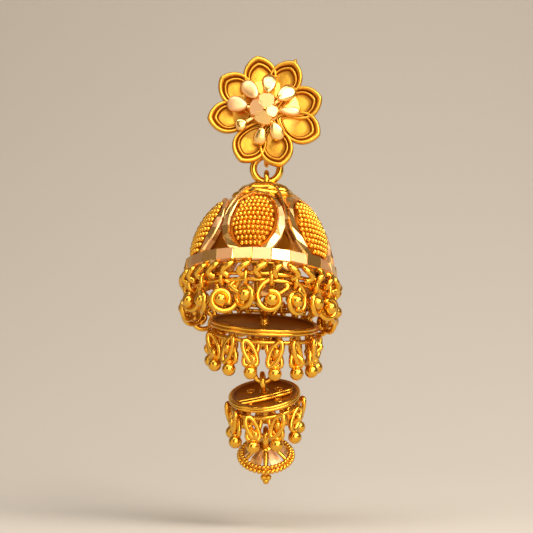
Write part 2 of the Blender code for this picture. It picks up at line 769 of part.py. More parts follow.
def add_plate(name, radius, thickness, holes, eye_drop, material, pivot):
    """A shallow plate with a double rim, an eye above it and one below, and small holes through it."""
    middle = -eye_drop
    half = thickness / 2
    bed = radius - 2 * PLATE_RIM_WIDTH
    edge = radius - PLATE_EDGE_ROUND
    belly = middle - half - PLATE_BELLY
    profile = [
        (0.0, middle + half - PLATE_DISH),
        (bed, middle + half - PLATE_DISH),
        (radius - PLATE_RIM_WIDTH, middle + half),
        (edge, middle + half),
        (radius, middle + 0.3 * half),
        (edge, middle),
        (radius, middle - 0.3 * half),
        (edge, middle - half),
        (bed, belly),
        (0.0, belly),
    ]
    obj = add_object(name, turned(profile), material, pivot)
    upper = eye(Vector(), SMALL_EYE_RADIUS)
    lower = eye(Vector((0.0, 0.0, -plate_lower_eye(thickness, eye_drop))), SMALL_EYE_RADIUS)
    low = middle - half
    top = -SMALL_EYE_RADIUS
    stem = turned(
        [(0.0, top), (PLATE_STEM_TOP_RADIUS, top), (PLATE_STEM_FOOT_RADIUS, low), (0.0, low)], DRILL_SIDES
    )
    fuse(obj, [stem], [upper, lower])
    if holes:
        cut_holes(obj, middle, holes)


def plate_lower_eye(thickness, eye_drop):
    """How far a plate's lower eye lies below its upper one."""
    return eye_drop + thickness / 2 + PLATE_BELLY + SMALL_EYE_RADIUS


def cut_holes(obj, middle, holes):
    """Round holes through a plate, half way out."""
    drills = []
    reach = LOWER_THICKNESS + PLATE_DISH
    profile = [(0.0, reach), (PLATE_HOLE_RADIUS, reach), (PLATE_HOLE_RADIUS, -reach), (0.0, -reach)]
    for i in range(holes):
        angle = 2 * math.pi * (i + 0.5) / holes
        drill = turned(profile, DRILL_SIDES)
        place = Vector((math.cos(angle), math.sin(angle), 0.0)) * PLATE_HOLE_PLACE + middle * Z_AXIS
        bmesh.ops.translate(drill, verts=drill.verts, vec=place)
        drills.append(drill)
    cutter = add_object(obj.name + "_drills", joined(drills), None, obj.parent)
    cutter.hide_render = True
    cutter.display_type = "WIRE"
    modifier = obj.modifiers.new("Holes", "BOOLEAN")
    modifier.operation = "DIFFERENCE"
    modifier.solver = "EXACT"
    modifier.object = cutter


# End cap's outer profile: depth below its top and radius, as shares
CAP_PROFILE = (
    # depth, radius
    (0.00, 0.30),
    (0.25, 0.58),
    (0.60, 0.84),
    (1.00, 1.00),
)
CAP_TOP = -(SMALL_EYE_RADIUS + 0.3 * EYE_WIRE_RADIUS)
CAP_HUB_TOP = CAP_TOP + 0.8 * EYE_WIRE_RADIUS
CAP_EYE_DROP = -CAP_HUB_TOP + CAP_HUB_HEIGHT + SMALL_EYE_RADIUS


def cap_point(degrees, share):
    """A point of the end cap's outer face below its eye."""
    radius = profile_radius(share, CAP_PROFILE) * CAP_RADIUS
    angle = math.radians(degrees)
    return Vector((radius * math.sin(angle), -radius * math.cos(angle), CAP_TOP - share * CAP_HEIGHT))


def add_end_cap(material, pivot):
    """A small pierced dome with a double rim, an eye on top and one inside."""
    rows = (0.0, 0.3, 0.6, 0.85, 1.0)
    border = [(-30.0, share) for share in rows] + [(-10.0, 1.0), (10.0, 1.0)]
    border += [(30.0, share) for share in reversed(rows)] + [(0.0, 0.0)]
    window = [(0.0, 0.3), (11.0, 0.5), (13.0, 0.68), (0.0, 0.82), (-13.0, 0.68), (-11.0, 0.5)]
    sheet = pierced_sheet(CAP_SECTORS, border, [], [window], [], 1 / 60, cap_point)
    obj = add_object("end_cap", sheet, material, pivot)
    thicken(obj, CAP_WALL)
    low = CAP_TOP - CAP_HEIGHT
    rim_radius = CAP_RADIUS - 0.4 * CAP_RIM_WIRE_RADIUS
    rim = wire_loop(
        low * Z_AXIS, X_AXIS, Y_AXIS, rim_radius, rim_radius, CAP_RIM_WIRE_RADIUS, COLLAR_SIDES
    )
    hub_foot = CAP_HUB_TOP - CAP_HUB_HEIGHT
    hub = turned(
        [(0.0, CAP_HUB_TOP), (CAP_HUB_RADIUS, CAP_HUB_TOP - 0.25 * CAP_HUB_HEIGHT),
         (CAP_HUB_RADIUS, hub_foot), (0.0, hub_foot)],
        DRILL_SIDES,
    )
    upper = eye(Vector(), SMALL_EYE_RADIUS)
    lower = eye(-CAP_EYE_DROP * Z_AXIS, SMALL_EYE_RADIUS)
    fuse(obj, [rim, hub], [upper, lower])


def add_link(name, start, end, material, pivot):
    """A straight-sided link faced to the front, through the eye at each of its ends."""
    along = (start - end).normalized()
    across = X_AXIS - along * X_AXIS.dot(along)
    half = (start - end).length / 2
    shell = wire_loop(
        (start + end) / 2, across.normalized(), along, LINK_WIDTH / 2 - LINK_WIRE_RADIUS, half,
        LINK_WIRE_RADIUS, LOOP_STEPS + 2,
    )
    add_object(name, shell, material, pivot)


def add_finial(place, material, pivot):
    """An eye faced to the front, a short shank, three granules and a tip."""
    loop = wire_loop(
        Vector(), X_AXIS, Z_AXIS, SMALL_EYE_RADIUS, SMALL_EYE_RADIUS, LINK_WIRE_RADIUS, LOOP_STEPS
    )
    top = -SMALL_EYE_RADIUS
    low = top - FINIAL_LENGTH + 2 * GRANULE_RADIUS
    shank = turned([(0.0, top), (SHANK_RADIUS, top), (SHANK_RADIUS, low), (0.0, low)], EYE_SIDES)
    balls = [ball((low - GRANULE_RADIUS) * Z_AXIS, GRANULE_RADIUS)]
    for i in range(3):
        angle = math.radians(90 + 120 * i)
        outward = Vector((math.cos(angle), math.sin(angle), 0.0))
        balls.append(ball(outward * GRANULE_RADIUS * 0.95 + low * Z_AXIS, GRANULE_RADIUS))
    obj = add_object("finial", loop, material, pivot)
    obj.location = place
    fuse(obj, [shank], *[[granule] for granule in balls])


def main():
    clear_scene()
    matte = gold("sandblasted_gold", (0.86, 0.55, 0.17), 0.5)
    polished = gold("diamond_cut_gold", (0.95, 0.66, 0.22), 0.15)
    wire = gold("drawn_wire_gold", (0.85, 0.5, 0.12), 0.3)
    plain = gold("plain_gold", (0.8, 0.5, 0.15), 0.35)

    add_flower_petals(matte)
    add_flower_leaves(polished)
    add_flower_centre(polished)
    add_ear_post(plain)

    ring_pivot = add_pivot("ring_pivot", STUD_LOOP_CENTRE)
    add_jump_ring(wire, ring_pivot)
    drop_pivot = add_pivot("drop_pivot", RING_CENTRE - STUD_LOOP_CENTRE, ring_pivot)

    dome_lean = lean_matrix(DOME_LEAN, DOME_ROLL)
    dome_place = DOME_EYE_CENTRE - RING_CENTRE
    dome_pivot = add_pivot("dome_pivot", dome_place, drop_pivot, dome_lean)
    add_dome(polished, dome_pivot)
    add_fringe(
        "dome_fringe", wire, drop_pivot, dome_place,
        fringe_shells(
            DOME_RADIUS - FRINGE_RING_WIRE_RADIUS, FRINGE_WIRE_DROP, dome_lean, DOME_FRINGE_COUNT,
            DOME_BALL_DROP, DOME_BALL_OUT, DOME_RING_STEPS,
        ),
    )

    slack = LINK_SLACK * Z_AXIS
    above = dome_place + dome_lean @ Vector((0.0, 0.0, -INNER_EYE_DROP))
    swing = Matrix.Rotation(math.radians(LONG_LINK_LEAN), 3, "X")
    below = above + swing @ Vector((0.0, 0.0, -LONG_LINK_LENGTH))
    add_link("long_link", above - slack, below + slack, wire, drop_pivot)

    tiers = (
        ("middle", MIDDLE_RADIUS, MIDDLE_THICKNESS, 0, MIDDLE_EYE_DROP, MIDDLE_LEAN, MIDDLE_ROLL,
         MIDDLE_FRINGE_COUNT, MIDDLE_BALL_DROP, MIDDLE_LINK_LENGTH, MIDDLE_RING_STEPS),
        ("lower", LOWER_RADIUS, LOWER_THICKNESS, LOWER_HOLE_COUNT, LOWER_EYE_DROP, LOWER_LEAN, LOWER_ROLL,
         LOWER_FRINGE_COUNT, LOWER_BALL_DROP, LOWER_LINK_LENGTH, LOWER_RING_STEPS),
    )
    for tier, radius, thickness, holes, eye_drop, lean, roll, count, drop, link, steps in tiers:
        turn = lean_matrix(lean, roll)
        pivot = add_pivot(tier + "_pivot", below, drop_pivot, turn)
        add_plate(tier + "_plate", radius, thickness, holes, eye_drop, polished, pivot)
        depth = eye_drop + thickness / 2 + GAP + FRINGE_SLACK + FRINGE_RING_WIRE_RADIUS
        fringe = fringe_shells(
            radius - FRINGE_RING_WIRE_RADIUS, depth, turn, count, drop, PLATE_BALL_OUT, steps
        )
        add_fringe(tier + "_fringe", wire, drop_pivot, below, fringe)
        above = below + turn @ Vector((0.0, 0.0, -plate_lower_eye(thickness, eye_drop)))
        below = above - Z_AXIS * link
        add_link(tier + "_link", above - slack, below + slack, wire, drop_pivot)

    cap_turn = lean_matrix(CAP_LEAN, 0.0)
    cap_pivot = add_pivot("cap_pivot", below, drop_pivot, cap_turn)
    add_end_cap(polished, cap_pivot)
    finial_place = below + cap_turn @ Vector((0.0, 0.0, -CAP_EYE_DROP))
    finial_place -= Z_AXIS * SMALL_EYE_RADIUS
    add_finial(finial_place, wire, drop_pivot)
    bpy.context.view_layer.update()


main()
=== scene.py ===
"""A gold jhumka earring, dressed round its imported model: flower stud, jump ring, dome, plates, fringes, cap.

Shapes are worked out in millimetres, in the model's frame: +Z up, the front faces -Y, and the origin is
where the post enters the lobe. add_piece turns them to metres.
"""

import bmesh
import bpy
import numpy as np
from mathutils import Matrix


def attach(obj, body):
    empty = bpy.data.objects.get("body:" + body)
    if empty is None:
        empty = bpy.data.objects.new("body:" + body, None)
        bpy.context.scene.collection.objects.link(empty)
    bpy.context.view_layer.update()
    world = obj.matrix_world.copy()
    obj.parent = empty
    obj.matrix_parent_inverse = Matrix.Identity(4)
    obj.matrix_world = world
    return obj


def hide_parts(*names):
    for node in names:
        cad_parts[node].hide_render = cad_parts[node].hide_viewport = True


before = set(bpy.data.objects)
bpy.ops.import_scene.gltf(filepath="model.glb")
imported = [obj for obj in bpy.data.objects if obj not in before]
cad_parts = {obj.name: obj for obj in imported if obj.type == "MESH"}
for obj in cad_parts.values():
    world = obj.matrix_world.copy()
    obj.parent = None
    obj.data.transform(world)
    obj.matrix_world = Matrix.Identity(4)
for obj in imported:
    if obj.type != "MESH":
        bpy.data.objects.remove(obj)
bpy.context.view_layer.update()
rng = np.random.default_rng(22)


# Flower petals
# Eight petals stamped from thin 22 carat sheet, each with two raised lines round a sandblasted dish.
# They are soldered to a round back plate, which also carries the hanging loop.

# Direction in degrees from +X towards +Z, tip, lean to the side, lift in mm
PETALS = np.array(
    [
        (15, 7.3, 0.06, 0.00),
        (61, 7.5, -0.10, 0.16),
        (99, 7.4, 0.08, 0.04),
        (142, 7.4, -0.05, 0.14),
        (186, 7.5, 0.07, 0.00),
        (243, 7.2, -0.06, 0.12),
        (285, 7.3, 0.05, 0.18),
        (336, 7.4, -0.07, 0.08),
    ]
)
PETAL_ROOT = 1.1
PETAL_LENGTH = 6.3
PETAL_HALF_WIDTH = 2.1
PETAL_CURL = 0.45
PETAL_COLUMNS = 72
BACK_PLATE_RADIUS = 4.4
STUD_LOOP_CENTRE = np.array([0.0, 1.2, -5.04])
BIG_EYE_RADIUS = 1.25
EYE_WIRE_RADIUS = 0.35
SATIN_PEACH = "#F6C08C"
CLOUD_SIZE = 1.6
SOILED_SHARE = 0.35
SATIN_ROUGHNESS = 0.3


def linear(hex_colour):
    """sRGB hex to linear light: under 0.04045 divided by 12.92, over it the 2.4 power."""
    channels = np.array([int(hex_colour[i : i + 2], 16) for i in (1, 3, 5)]) / 255
    power = ((channels + 0.055) / 1.055) ** 2.4
    return (*np.where(channels <= 0.04045, channels / 12.92, power).tolist(), 1.0)


def add_node(material, kind, inputs, **settings):
    """Add a shader node with its settings, and give each input its value or its link."""
    node = material.node_tree.nodes.new(kind)
    for name, value in settings.items():
        setattr(node, name, value)
    for socket, value in inputs.items():
        if isinstance(value, bpy.types.NodeSocket):
            material.node_tree.links.new(value, node.inputs[socket])
        else:
            node.inputs[socket].default_value = value
    return node


def gold(name, bright, shade_and_soil, roughness, spread, grain, depth):
    """22 carat gold: bright, and darker with painted shade in recesses and with a cloud of soil, with a grain
    of so many mm and a bump of depth mm.

    Roughness goes from roughness to roughness + spread with a cloud of 1.6 mm and with the painted shade share
    of the recess.
    The facet attribute turns single flats to the satin peach that a worn cutter leaves.
    """
    material = bpy.data.materials.new(name)
    material.use_nodes = True
    shader = material.node_tree.nodes["Principled BSDF"]
    place = add_node(material, "ShaderNodeTexCoord", {}).outputs["Object"]
    cloud = add_node(
        material, "ShaderNodeTexNoise", {"Vector": place, "Scale": 1000 / CLOUD_SIZE, "Detail": 4.0}
    ).outputs[0]
    fine = add_node(
        material, "ShaderNodeTexNoise", {"Vector": place, "Scale": 1000 / grain, "Detail": 3.0}
    ).outputs[0]
    # Painted shade: a share for each point, 1 deep in a recess, that mixes the colour towards the darker one
    # where shade falls
    painted_shade = add_node(material, "ShaderNodeAttribute", {}, attribute_name="painted_shade").outputs["Fac"]
    satin = add_node(material, "ShaderNodeAttribute", {}, attribute_name="facet").outputs["Fac"]
    soiled = add_node(
        material, "ShaderNodeMath", {0: cloud, 1: SOILED_SHARE}, operation="MULTIPLY"
    ).outputs[0]
    share = add_node(
        material, "ShaderNodeMath", {0: painted_shade, 1: soiled}, operation="ADD", use_clamp=True
    ).outputs[0]
    tone = add_node(
        material, "ShaderNodeMix", {0: share, 6: linear(bright), 7: linear(shade_and_soil)}, data_type="RGBA"
    ).outputs[2]
    colour = add_node(
        material, "ShaderNodeMix", {0: satin, 6: tone, 7: linear(SATIN_PEACH)}, data_type="RGBA"
    ).outputs[2]
    polish = add_node(
        material, "ShaderNodeMapRange", {0: share, 3: roughness, 4: roughness + spread}
    ).outputs[0]
    dulled = add_node(
        material, "ShaderNodeMath", {0: satin, 1: SATIN_ROUGHNESS, 2: polish}, operation="MULTIPLY_ADD"
    ).outputs[0]
    bump = add_node(
        material, "ShaderNodeBump", {"Height": fine, "Strength": 0.6, "Distance": depth / 1000}
    ).outputs[0]
    material.node_tree.links.new(colour, shader.inputs["Base Color"])
    material.node_tree.links.new(dulled, shader.inputs["Roughness"])
    material.node_tree.links.new(bump, shader.inputs["Normal"])
    shader.inputs["Metallic"].default_value = 1.0
    return material


# The second colour of each finish is painted shade for its recesses, and also the colour its soil cloud
# darkens towards
finishes = {
    # Sandblasted sheet: tiny pits scatter the light, so it glows evenly. Real grit is 0.1 mm, drawn at 0.22.
    "sandblasted_gold": gold("sandblasted_gold_sheet", "#F8BC44", "#8E480C", 0.34, 0.2, 0.22, 0.03),
    # Drawn and burnished wire and beads: smooth with soft draw marks, so reflections are sharp but warm.
    "drawn_wire_gold": gold("burnished_gold_wire", "#FDC244", "#94500E", 0.19, 0.18, 0.3, 0.006),
    # Diamond-cut flats: cut by a polished tool, so each is a small mirror with faint tool marks.
    # Their gold is paler than the rest, a painted highlight for the near-white sheen of cut flats.
    "diamond_cut_gold": gold("diamond_cut_gold_strip", "#FFD584", "#DC9430", 0.17, 0.14, 0.4, 0.004),
    # Plain rolled gold: tumbled to a low shine, for what doesn't show when worn.
    "plain_gold": gold("tumbled_gold_sheet", "#FAC052", "#B4701C", 0.26, 0.15, 0.3, 0.008),
}


def shells(rings, poles=None):
    """Points and runs of faces of shells from rings (shell, ring, around, xyz) of points.

    Quads join neighbouring rings. Each shell is closed by a fan to each of its two poles, or with no
    poles the last ring is joined to the first.
    """
    count, rows, columns = rings.shape[:3]
    points = rings.reshape(count, rows * columns, 3)
    around = np.arange(columns)
    after = (around + 1) % columns
    here = np.arange(rows if poles is None else rows - 1)[:, None]
    below = (here + 1) % rows
    quads = np.stack(
        [here * columns + around, below * columns + around, below * columns + after, here * columns + after],
        axis=-1,
    ).reshape(-1, 4)
    shift = np.arange(count)[:, None, None] * (rows * columns + (0 if poles is None else 2))
    runs = [(quads + shift).reshape(-1, 4)]
    if poles is not None:
        points = np.concatenate([points, poles], axis=1)
        first = rows * columns
        last = first - columns
        top = np.stack([np.full(columns, first), around, after], axis=-1)
        bottom = np.stack([np.full(columns, first + 1), last + after, last + around], axis=-1)
        fans = np.concatenate([top, bottom])
        runs.append((fans + shift).reshape(-1, 3))
    return points.reshape(-1, 3), runs


def face_count(*parts):
    """How many faces these parts have."""
    return sum(len(run) for part in parts for run in part[1])


def add_piece(name, parts, slot, body, node, flat=False, painted_shade=None, facet=None):
    """One object from (points in mm, runs of faces) parts, with its finish, its body and the node it shows.

    The painted shade share holds a value for each point, 0 on top and 1 deep in a recess, which darkens the
    colour there as shade. facet holds one for each face, 0 for bright and 1 for satin.
    """
    points = np.concatenate([part[0] for part in parts])
    starts = np.cumsum([0] + [len(part[0]) for part in parts])
    runs = [run + start for part, start in zip(parts, starts) for run in part[1]]
    faces = sum((run.tolist() for run in runs), [])
    mesh = bpy.data.meshes.new(name)
    mesh.from_pydata((points / 1000).tolist(), [], faces)
    # The painted shade share goes to the mesh as a point attribute, the facet share as a face attribute
    for kind, domain, shares in (("painted_shade", "POINT", painted_shade), ("facet", "FACE", facet)):
        if shares is not None:
            layer = mesh.attributes.new(kind, "FLOAT", domain)
            layer.data.foreach_set("value", np.asarray(shares, np.float32))
    shape = bmesh.new()
    shape.from_mesh(mesh)
    bmesh.ops.recalc_face_normals(shape, faces=shape.faces)
    shape.to_mesh(mesh)
    shape.free()
    mesh.polygons.foreach_set("use_smooth", np.full(len(mesh.polygons), not flat))
    mesh.materials.append(finishes[slot])
    piece = bpy.data.objects.new(name, mesh)
    bpy.context.collection.objects.link(piece)
    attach(piece, body)
    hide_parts(node)


def flower_frame(turns):
    """For each direction in degrees from +X towards +Z: the way out, the way across and the way forward."""
    angle = np.radians(turns)
    zero = np.zeros_like(angle)
    out = np.stack([np.cos(angle), zero, np.sin(angle)], axis=-1)
    across = np.stack([-np.sin(angle), zero, np.cos(angle)], axis=-1)
    forward = np.stack([zero, zero - 1, zero], axis=-1)
    return out, across, forward


# Across a petal from its middle to its edge and back: satin dish, inner line, groove, broad outer line
PETAL_FACE = np.array(
    [
        # share of the way out, height in mm, painted shade
        (0.10, 0.48, 0.10),
        (0.36, 0.45, 0.15),
        (0.54, 0.40, 0.50),
        (0.59, 0.48, 1.00),
        (0.63, 0.76, 0.10),
        (0.67, 0.87, 0.00),
        (0.71, 0.74, 0.40),
        (0.75, 0.46, 1.00),
        (0.78, 0.54, 1.00),
        (0.82, 0.94, 0.05),
        (0.89, 1.04, 0.00),
        (0.95, 0.97, 0.00),
        (1.00, 0.72, 0.15),
        (1.00, 0.35, 0.50),
        (0.90, 0.08, 0.50),
        (0.50, 0.04, 0.50),
    ]
)


def petal_shells():
    """Rings of an egg outline: along = root + half length (1 + w cos t), side = half width w s.

    s is sin^1.45 t (1 + 0.3 cos t), which points both ends. w and the height come from PETAL_FACE. Each
    petal curls forward by 0.45 mm times the square of its share of the length, leans to one side and is
    lifted a little over its neighbour.
    """
    turns, tips, leans, lifts = PETALS.T
    out, across, forward = flower_frame(turns)
    around = np.linspace(0, 2 * np.pi, PETAL_COLUMNS, endpoint=False)
    way, height = PETAL_FACE[:, 0, None], PETAL_FACE[:, 1, None]
    half = ((tips - PETAL_ROOT) / 2)[:, None, None]
    along = PETAL_ROOT + half * (1 + way * np.cos(around))
    pointed = np.abs(np.sin(around)) ** 0.45 * (1 + 0.3 * np.cos(around))
    side = PETAL_HALF_WIDTH * way * np.sin(around) * pointed
    curl = PETAL_CURL * ((along - PETAL_ROOT) / PETAL_LENGTH) ** 2
    level = height + curl + leans[:, None, None] * side + lifts[:, None, None]
    rings = (
        along[..., None] * out[:, None, None]
        + side[..., None] * across[:, None, None]
        + level[..., None] * forward[:, None, None]
    )
    return shells(rings, rings[:, [0, -1]].mean(axis=2))


def turned_shell(profile, centre, axes, columns=48, lobes=0, swell=0.0):
    """A shell turned about the third axis from (radius, height) pairs: radius (1 + swell cos(lobes a))."""
    profile = np.asarray(profile, float)
    angle = np.linspace(0, 2 * np.pi, columns, endpoint=False)
    radius = profile[1:-1, 0][:, None] * (1 + swell * np.cos(lobes * angle))
    height = profile[1:-1, 1][:, None] + 0 * angle
    rings = np.stack([radius * np.cos(angle), radius * np.sin(angle), height], axis=-1)
    poles = np.stack([0 * profile[[0, -1], 0], 0 * profile[[0, -1], 0], profile[[0, -1], 1]], axis=-1)
    return shells((centre + rings @ axes.T)[None], (centre + poles @ axes.T)[None])


def wires(paths, radius, normals, sides=12, closed=False):
    """Wire along each path (wire, step, xyz): centre + r (b cos a + n sin a).

    t is the path's direction, b the unit vector of t x normal, and n = b x t. Ends are rounded by a pole
    half a radius beyond. radius is one number or one for each step of each wire.
    """
    if closed:
        ahead = np.roll(paths, -1, axis=1) - np.roll(paths, 1, axis=1)
    else:
        ahead = np.gradient(paths, axis=1)
    along = ahead / np.linalg.norm(ahead, axis=-1, keepdims=True)
    sideways = np.cross(along, np.broadcast_to(normals[:, None], along.shape))
    sideways /= np.linalg.norm(sideways, axis=-1, keepdims=True)
    facing = np.cross(sideways, along)
    thickness = np.broadcast_to(radius, paths.shape[:2])[..., None, None]
    angle = np.linspace(0, 2 * np.pi, sides, endpoint=False)[:, None]
    offset = sideways[:, :, None] * np.cos(angle) + facing[:, :, None] * np.sin(angle)
    rings = paths[:, :, None] + thickness * offset
    if closed:
        return shells(rings)
    ends = paths[:, [0, -1]] + along[:, [0, -1]] * thickness[:, [0, -1], 0] * np.array([[-0.5], [0.5]])
    return shells(rings, ends)


def round_loop(centre, across, upward, half_width, half_height, steps=40):
    """A closed link: centre + half_width (cos a across + sin a upward), its two halves parted by a lift.

    The lift is (half_height - half_width) tanh(6 sin a), so the sides between the halves are straight.
    """
    angle = 2 * np.pi * (np.arange(steps) + 0.5) / steps
    lift = (half_height - half_width) * np.tanh(6 * np.sin(angle))
    side = half_width * np.cos(angle)
    rise = half_width * np.sin(angle) + lift
    return centre + side[:, None] * across + rise[:, None] * upward


X_WAY, Y_WAY, Z_WAY = np.eye(3)
FORWARD_AXES = np.stack([X_WAY, Z_WAY, -Y_WAY], axis=1)

petals = petal_shells()
# The upper right petal runs out into a small spike
spike_way = flower_frame(PETALS[1, 0])[0]
spike_path = np.linspace(7.2, 7.9, 6)[:, None] * spike_way - 1.1 * Y_WAY
spike = wires(spike_path[None], np.array([[0.42, 0.38, 0.3, 0.22, 0.14, 0.05]]), -Y_WAY[None])
# Painted shade for each point of the petals: darkest in the grooves between the raised lines, the lines' tops
# left bright
petal_painted_shade = np.tile(np.r_[np.repeat(PETAL_FACE[:, 2], PETAL_COLUMNS), 0.1, 0.5], len(PETALS))
add_piece(
    "flower_petals_stamped", [petals, spike], "sandblasted_gold", "stud", "flower_petals",
    painted_shade=np.r_[petal_painted_shade, np.zeros(len(spike[0]))],
)
back_plate = turned_shell(
    [(0, 0), (BACK_PLATE_RADIUS - 0.15, 0), (BACK_PLATE_RADIUS, 0.2), (BACK_PLATE_RADIUS, 0.5),
     (BACK_PLATE_RADIUS - 0.2, 0.7), (0, 0.7)],
    np.zeros(3), FORWARD_AXES,
)
stud_loop = wires(
    round_loop(STUD_LOOP_CENTRE, Y_WAY, Z_WAY, BIG_EYE_RADIUS, BIG_EYE_RADIUS)[None],
    EYE_WIRE_RADIUS, X_WAY[None], closed=True,
)
add_piece("flower_back", [back_plate, stud_loop], "plain_gold", "stud", "flower_petals")


# Flower leaves
# A second layer of small teardrop leaves, pressed hollow and polished, soldered to a small disc. The
# photo shows each one turned and worn a little differently, some bright and some satin.

LEAVES = np.array(
    [
        # direction, root, tip, half width, fall in mm for each mm outwards, satin
        (-2, 1.6, 4.3, 0.60, 0.10, 0.6),
        (41, 1.9, 4.8, 1.02, 0.36, 0.1),
        (84, 2.1, 4.9, 0.95, 0.36, 0.1),
        (127, 1.9, 4.9, 1.02, 0.25, 0.6),
        (167, 2.4, 5.1, 1.00, 0.05, 0.9),
        (209, 2.8, 4.4, 0.80, 0.00, 0.0),
        (257, 2.2, 4.5, 0.82, 0.15, 0.1),
        (295, 1.7, 4.2, 0.86, 0.20, 0.1),
    ]
)
LEAF_BACK = 1.45
LEAF_COLUMNS = 36
LEAF_RINGS = 11
STEM_WIRE = 0.26


def leaf_shells():
    """Each leaf is a pillow on a teardrop: side = half width w sin t (1 + 0.25 cos t), w the way to its edge.

    Its height is 0.4 + 0.4 (1 - w^3)^0.5, and its last two rings close its back. Each leaf tilts outwards
    by its own fall.
    """
    turns, roots, tips, halves, falls = LEAVES[:, :5].T
    out, across, forward = flower_frame(turns)
    around = np.linspace(0, 2 * np.pi, LEAF_COLUMNS, endpoint=False)
    rise = np.linspace(0.15, 0.99, LEAF_RINGS - 2)
    way = np.r_[rise, 0.95, 0.4][:, None]
    height = np.r_[0.4 + 0.4 * np.sqrt(1 - rise**3), 0.1, 0.1][:, None]
    half = ((tips - roots) / 2)[:, None, None]
    along = roots[:, None, None] + half * (1 + way * np.cos(around))
    side = halves[:, None, None] * way * np.sin(around) * (1 + 0.25 * np.cos(around))
    level = LEAF_BACK + height - falls[:, None, None] * (along - 3.6)
    rings = (
        along[..., None] * out[:, None, None]
        + side[..., None] * across[:, None, None]
        + level[..., None] * forward[:, None, None]
    )
    return shells(rings, rings[:, [0, -1]].mean(axis=2))


leaves = leaf_shells()
leaf_disc = turned_shell(
    [(0, LEAF_BACK), (1.5, LEAF_BACK), (1.6, 1.6), (1.5, 1.8), (0, 1.85)], np.zeros(3), FORWARD_AXES
)
stem_ways = flower_frame(LEAVES[:, 0])[0]
stem_paths = np.linspace(1.2, 3.2, 5)[None, :, None] * stem_ways[:, None] - 1.75 * Y_WAY
stems = wires(stem_paths, STEM_WIRE, np.broadcast_to(-Y_WAY, (len(LEAVES), 3)), 10)
# The quads of all the leaves come first, then the fans that close them
leaf_satin = np.r_[
    np.repeat(LEAVES[:, 5], (LEAF_RINGS - 1) * LEAF_COLUMNS), np.repeat(LEAVES[:, 5], 2 * LEAF_COLUMNS)
]
add_piece(
    "flower_leaves_polished", [leaves, leaf_disc, stems], "diamond_cut_gold", "stud", "flower_leaves",
    facet=np.r_[leaf_satin, np.full(face_count(leaf_disc, stems), 0.1)],
)


# Flower centre
# Four lobes of solid gold, each cut to one flat by a diamond tool. The flats slope outwards, so each one
# catches a different light.

LOBES = np.array(
    [
        # direction, root, tip, half width, satin
        (88, 0.0, 2.1, 1.08, 0.40),
        (172, 0.25, 2.1, 1.08, 0.8),
        (250, 0.25, 2.0, 1.15, 0.12),
        (338, 0.05, 1.5, 0.72, 0.15),
    ]
)
CENTRE_BACK = 1.95
# Half of the outline of a lobe: share of its length, share of its half width
HALF_KITE = np.array([(0.0, 0.3), (0.3, 1.0), (0.85, 0.95), (1.0, 0.45)])
# The rings of a lobe from its back to its flat: size, height in mm
LOBE_RINGS = np.array([(0.85, 0.0), (1.0, 0.1), (1.0, 0.75), (0.9, 0.95)])
KITE = np.concatenate([HALF_KITE, HALF_KITE[::-1] * (1, -1)])


def cut_lobes():
    """Each lobe is rings of a rounded kite that grow, rise and shrink to a flat, which falls 0.2 mm a mm."""
    turns, roots, tips, halves = LOBES[:, :4].T
    out, across, forward = flower_frame(turns)
    middle = KITE.mean(axis=0)
    grow, level = LOBE_RINGS[:, 0, None], LOBE_RINGS[:, 1, None]
    kites = middle + (KITE - middle) * grow[..., None]
    along = roots[:, None, None] + (tips - roots)[:, None, None] * kites[..., 0]
    side = halves[:, None, None] * kites[..., 1]
    height = CENTRE_BACK + level - 0.2 * (along - 1.0) * (level > 0.5)
    rings = (
        along[..., None] * out[:, None, None]
        + side[..., None] * across[:, None, None]
        + height[..., None] * forward[:, None, None]
    )
    return shells(rings, rings[:, [0, -1]].mean(axis=2))


add_piece(
    "flower_boss_facets", [cut_lobes()], "diamond_cut_gold", "stud", "flower_centre", flat=True,
    facet=np.r_[
        np.repeat(LOBES[:, 4], (len(LOBE_RINGS) - 1) * len(KITE)), np.repeat(LOBES[:, 4], 2 * len(KITE))
    ],
)


# Ear post
# A straight gold wire soldered behind the flower, with the screw back that holds it on the lobe. Both are
# hidden when the earring is worn.

# Radius, and mm to the front along the post: the flange, the wire, the back with its round edge, the tip
POST_PROFILE = [
    (0.0, -0.3), (1.2, -0.3), (1.35, -0.4), (1.35, -0.7), (0.5, -0.8), (0.5, -7.7), (2.6, -7.8), (2.95, -8.3),
    (3.0, -8.9), (2.95, -9.5), (2.6, -10.0), (0.5, -10.05), (0.5, -11.1), (0.3, -11.3), (0.0, -11.3),
]
post = turned_shell(POST_PROFILE, np.zeros(3), FORWARD_AXES, columns=36)
add_piece("ear_post_turned", [post], "plain_gold", "stud", "ear_post")


# Jump ring
# A heavy ring of round burnished wire, soldered shut through the stud's loop and the dome's eye. It lets
# the drop swing both ways.

RING_CENTRE = np.array([0.0, 1.2, -6.8])
RING_MEAN_RADIUS = 1.7
RING_WIRE = 0.48
ring_path = round_loop(RING_CENTRE, X_WAY, Z_WAY, RING_MEAN_RADIUS, RING_MEAN_RADIUS, 64)
ring_wire = wires(ring_path[None], RING_WIRE, Y_WAY[None], 14, True)
add_piece("jump_ring_wire", [ring_wire], "drawn_wire_gold", "ring", "jump_ring")


# Dome collar and eyes
# A small stamped cap with a waved edge closes the top of the bell. The eye through it is bent from wire,
# and the one inside the bell carries the link.

DOME_EYE = np.array([0.0, 1.2, -8.56])
DOME_TOP = -1.58
DOME_HEIGHT = 12.6
DOME_RADIUS = 9.0
DOME_TURN = 22.0
INNER_EYE_DROP = 2.96
SMALL_EYE_RADIUS = 1.08


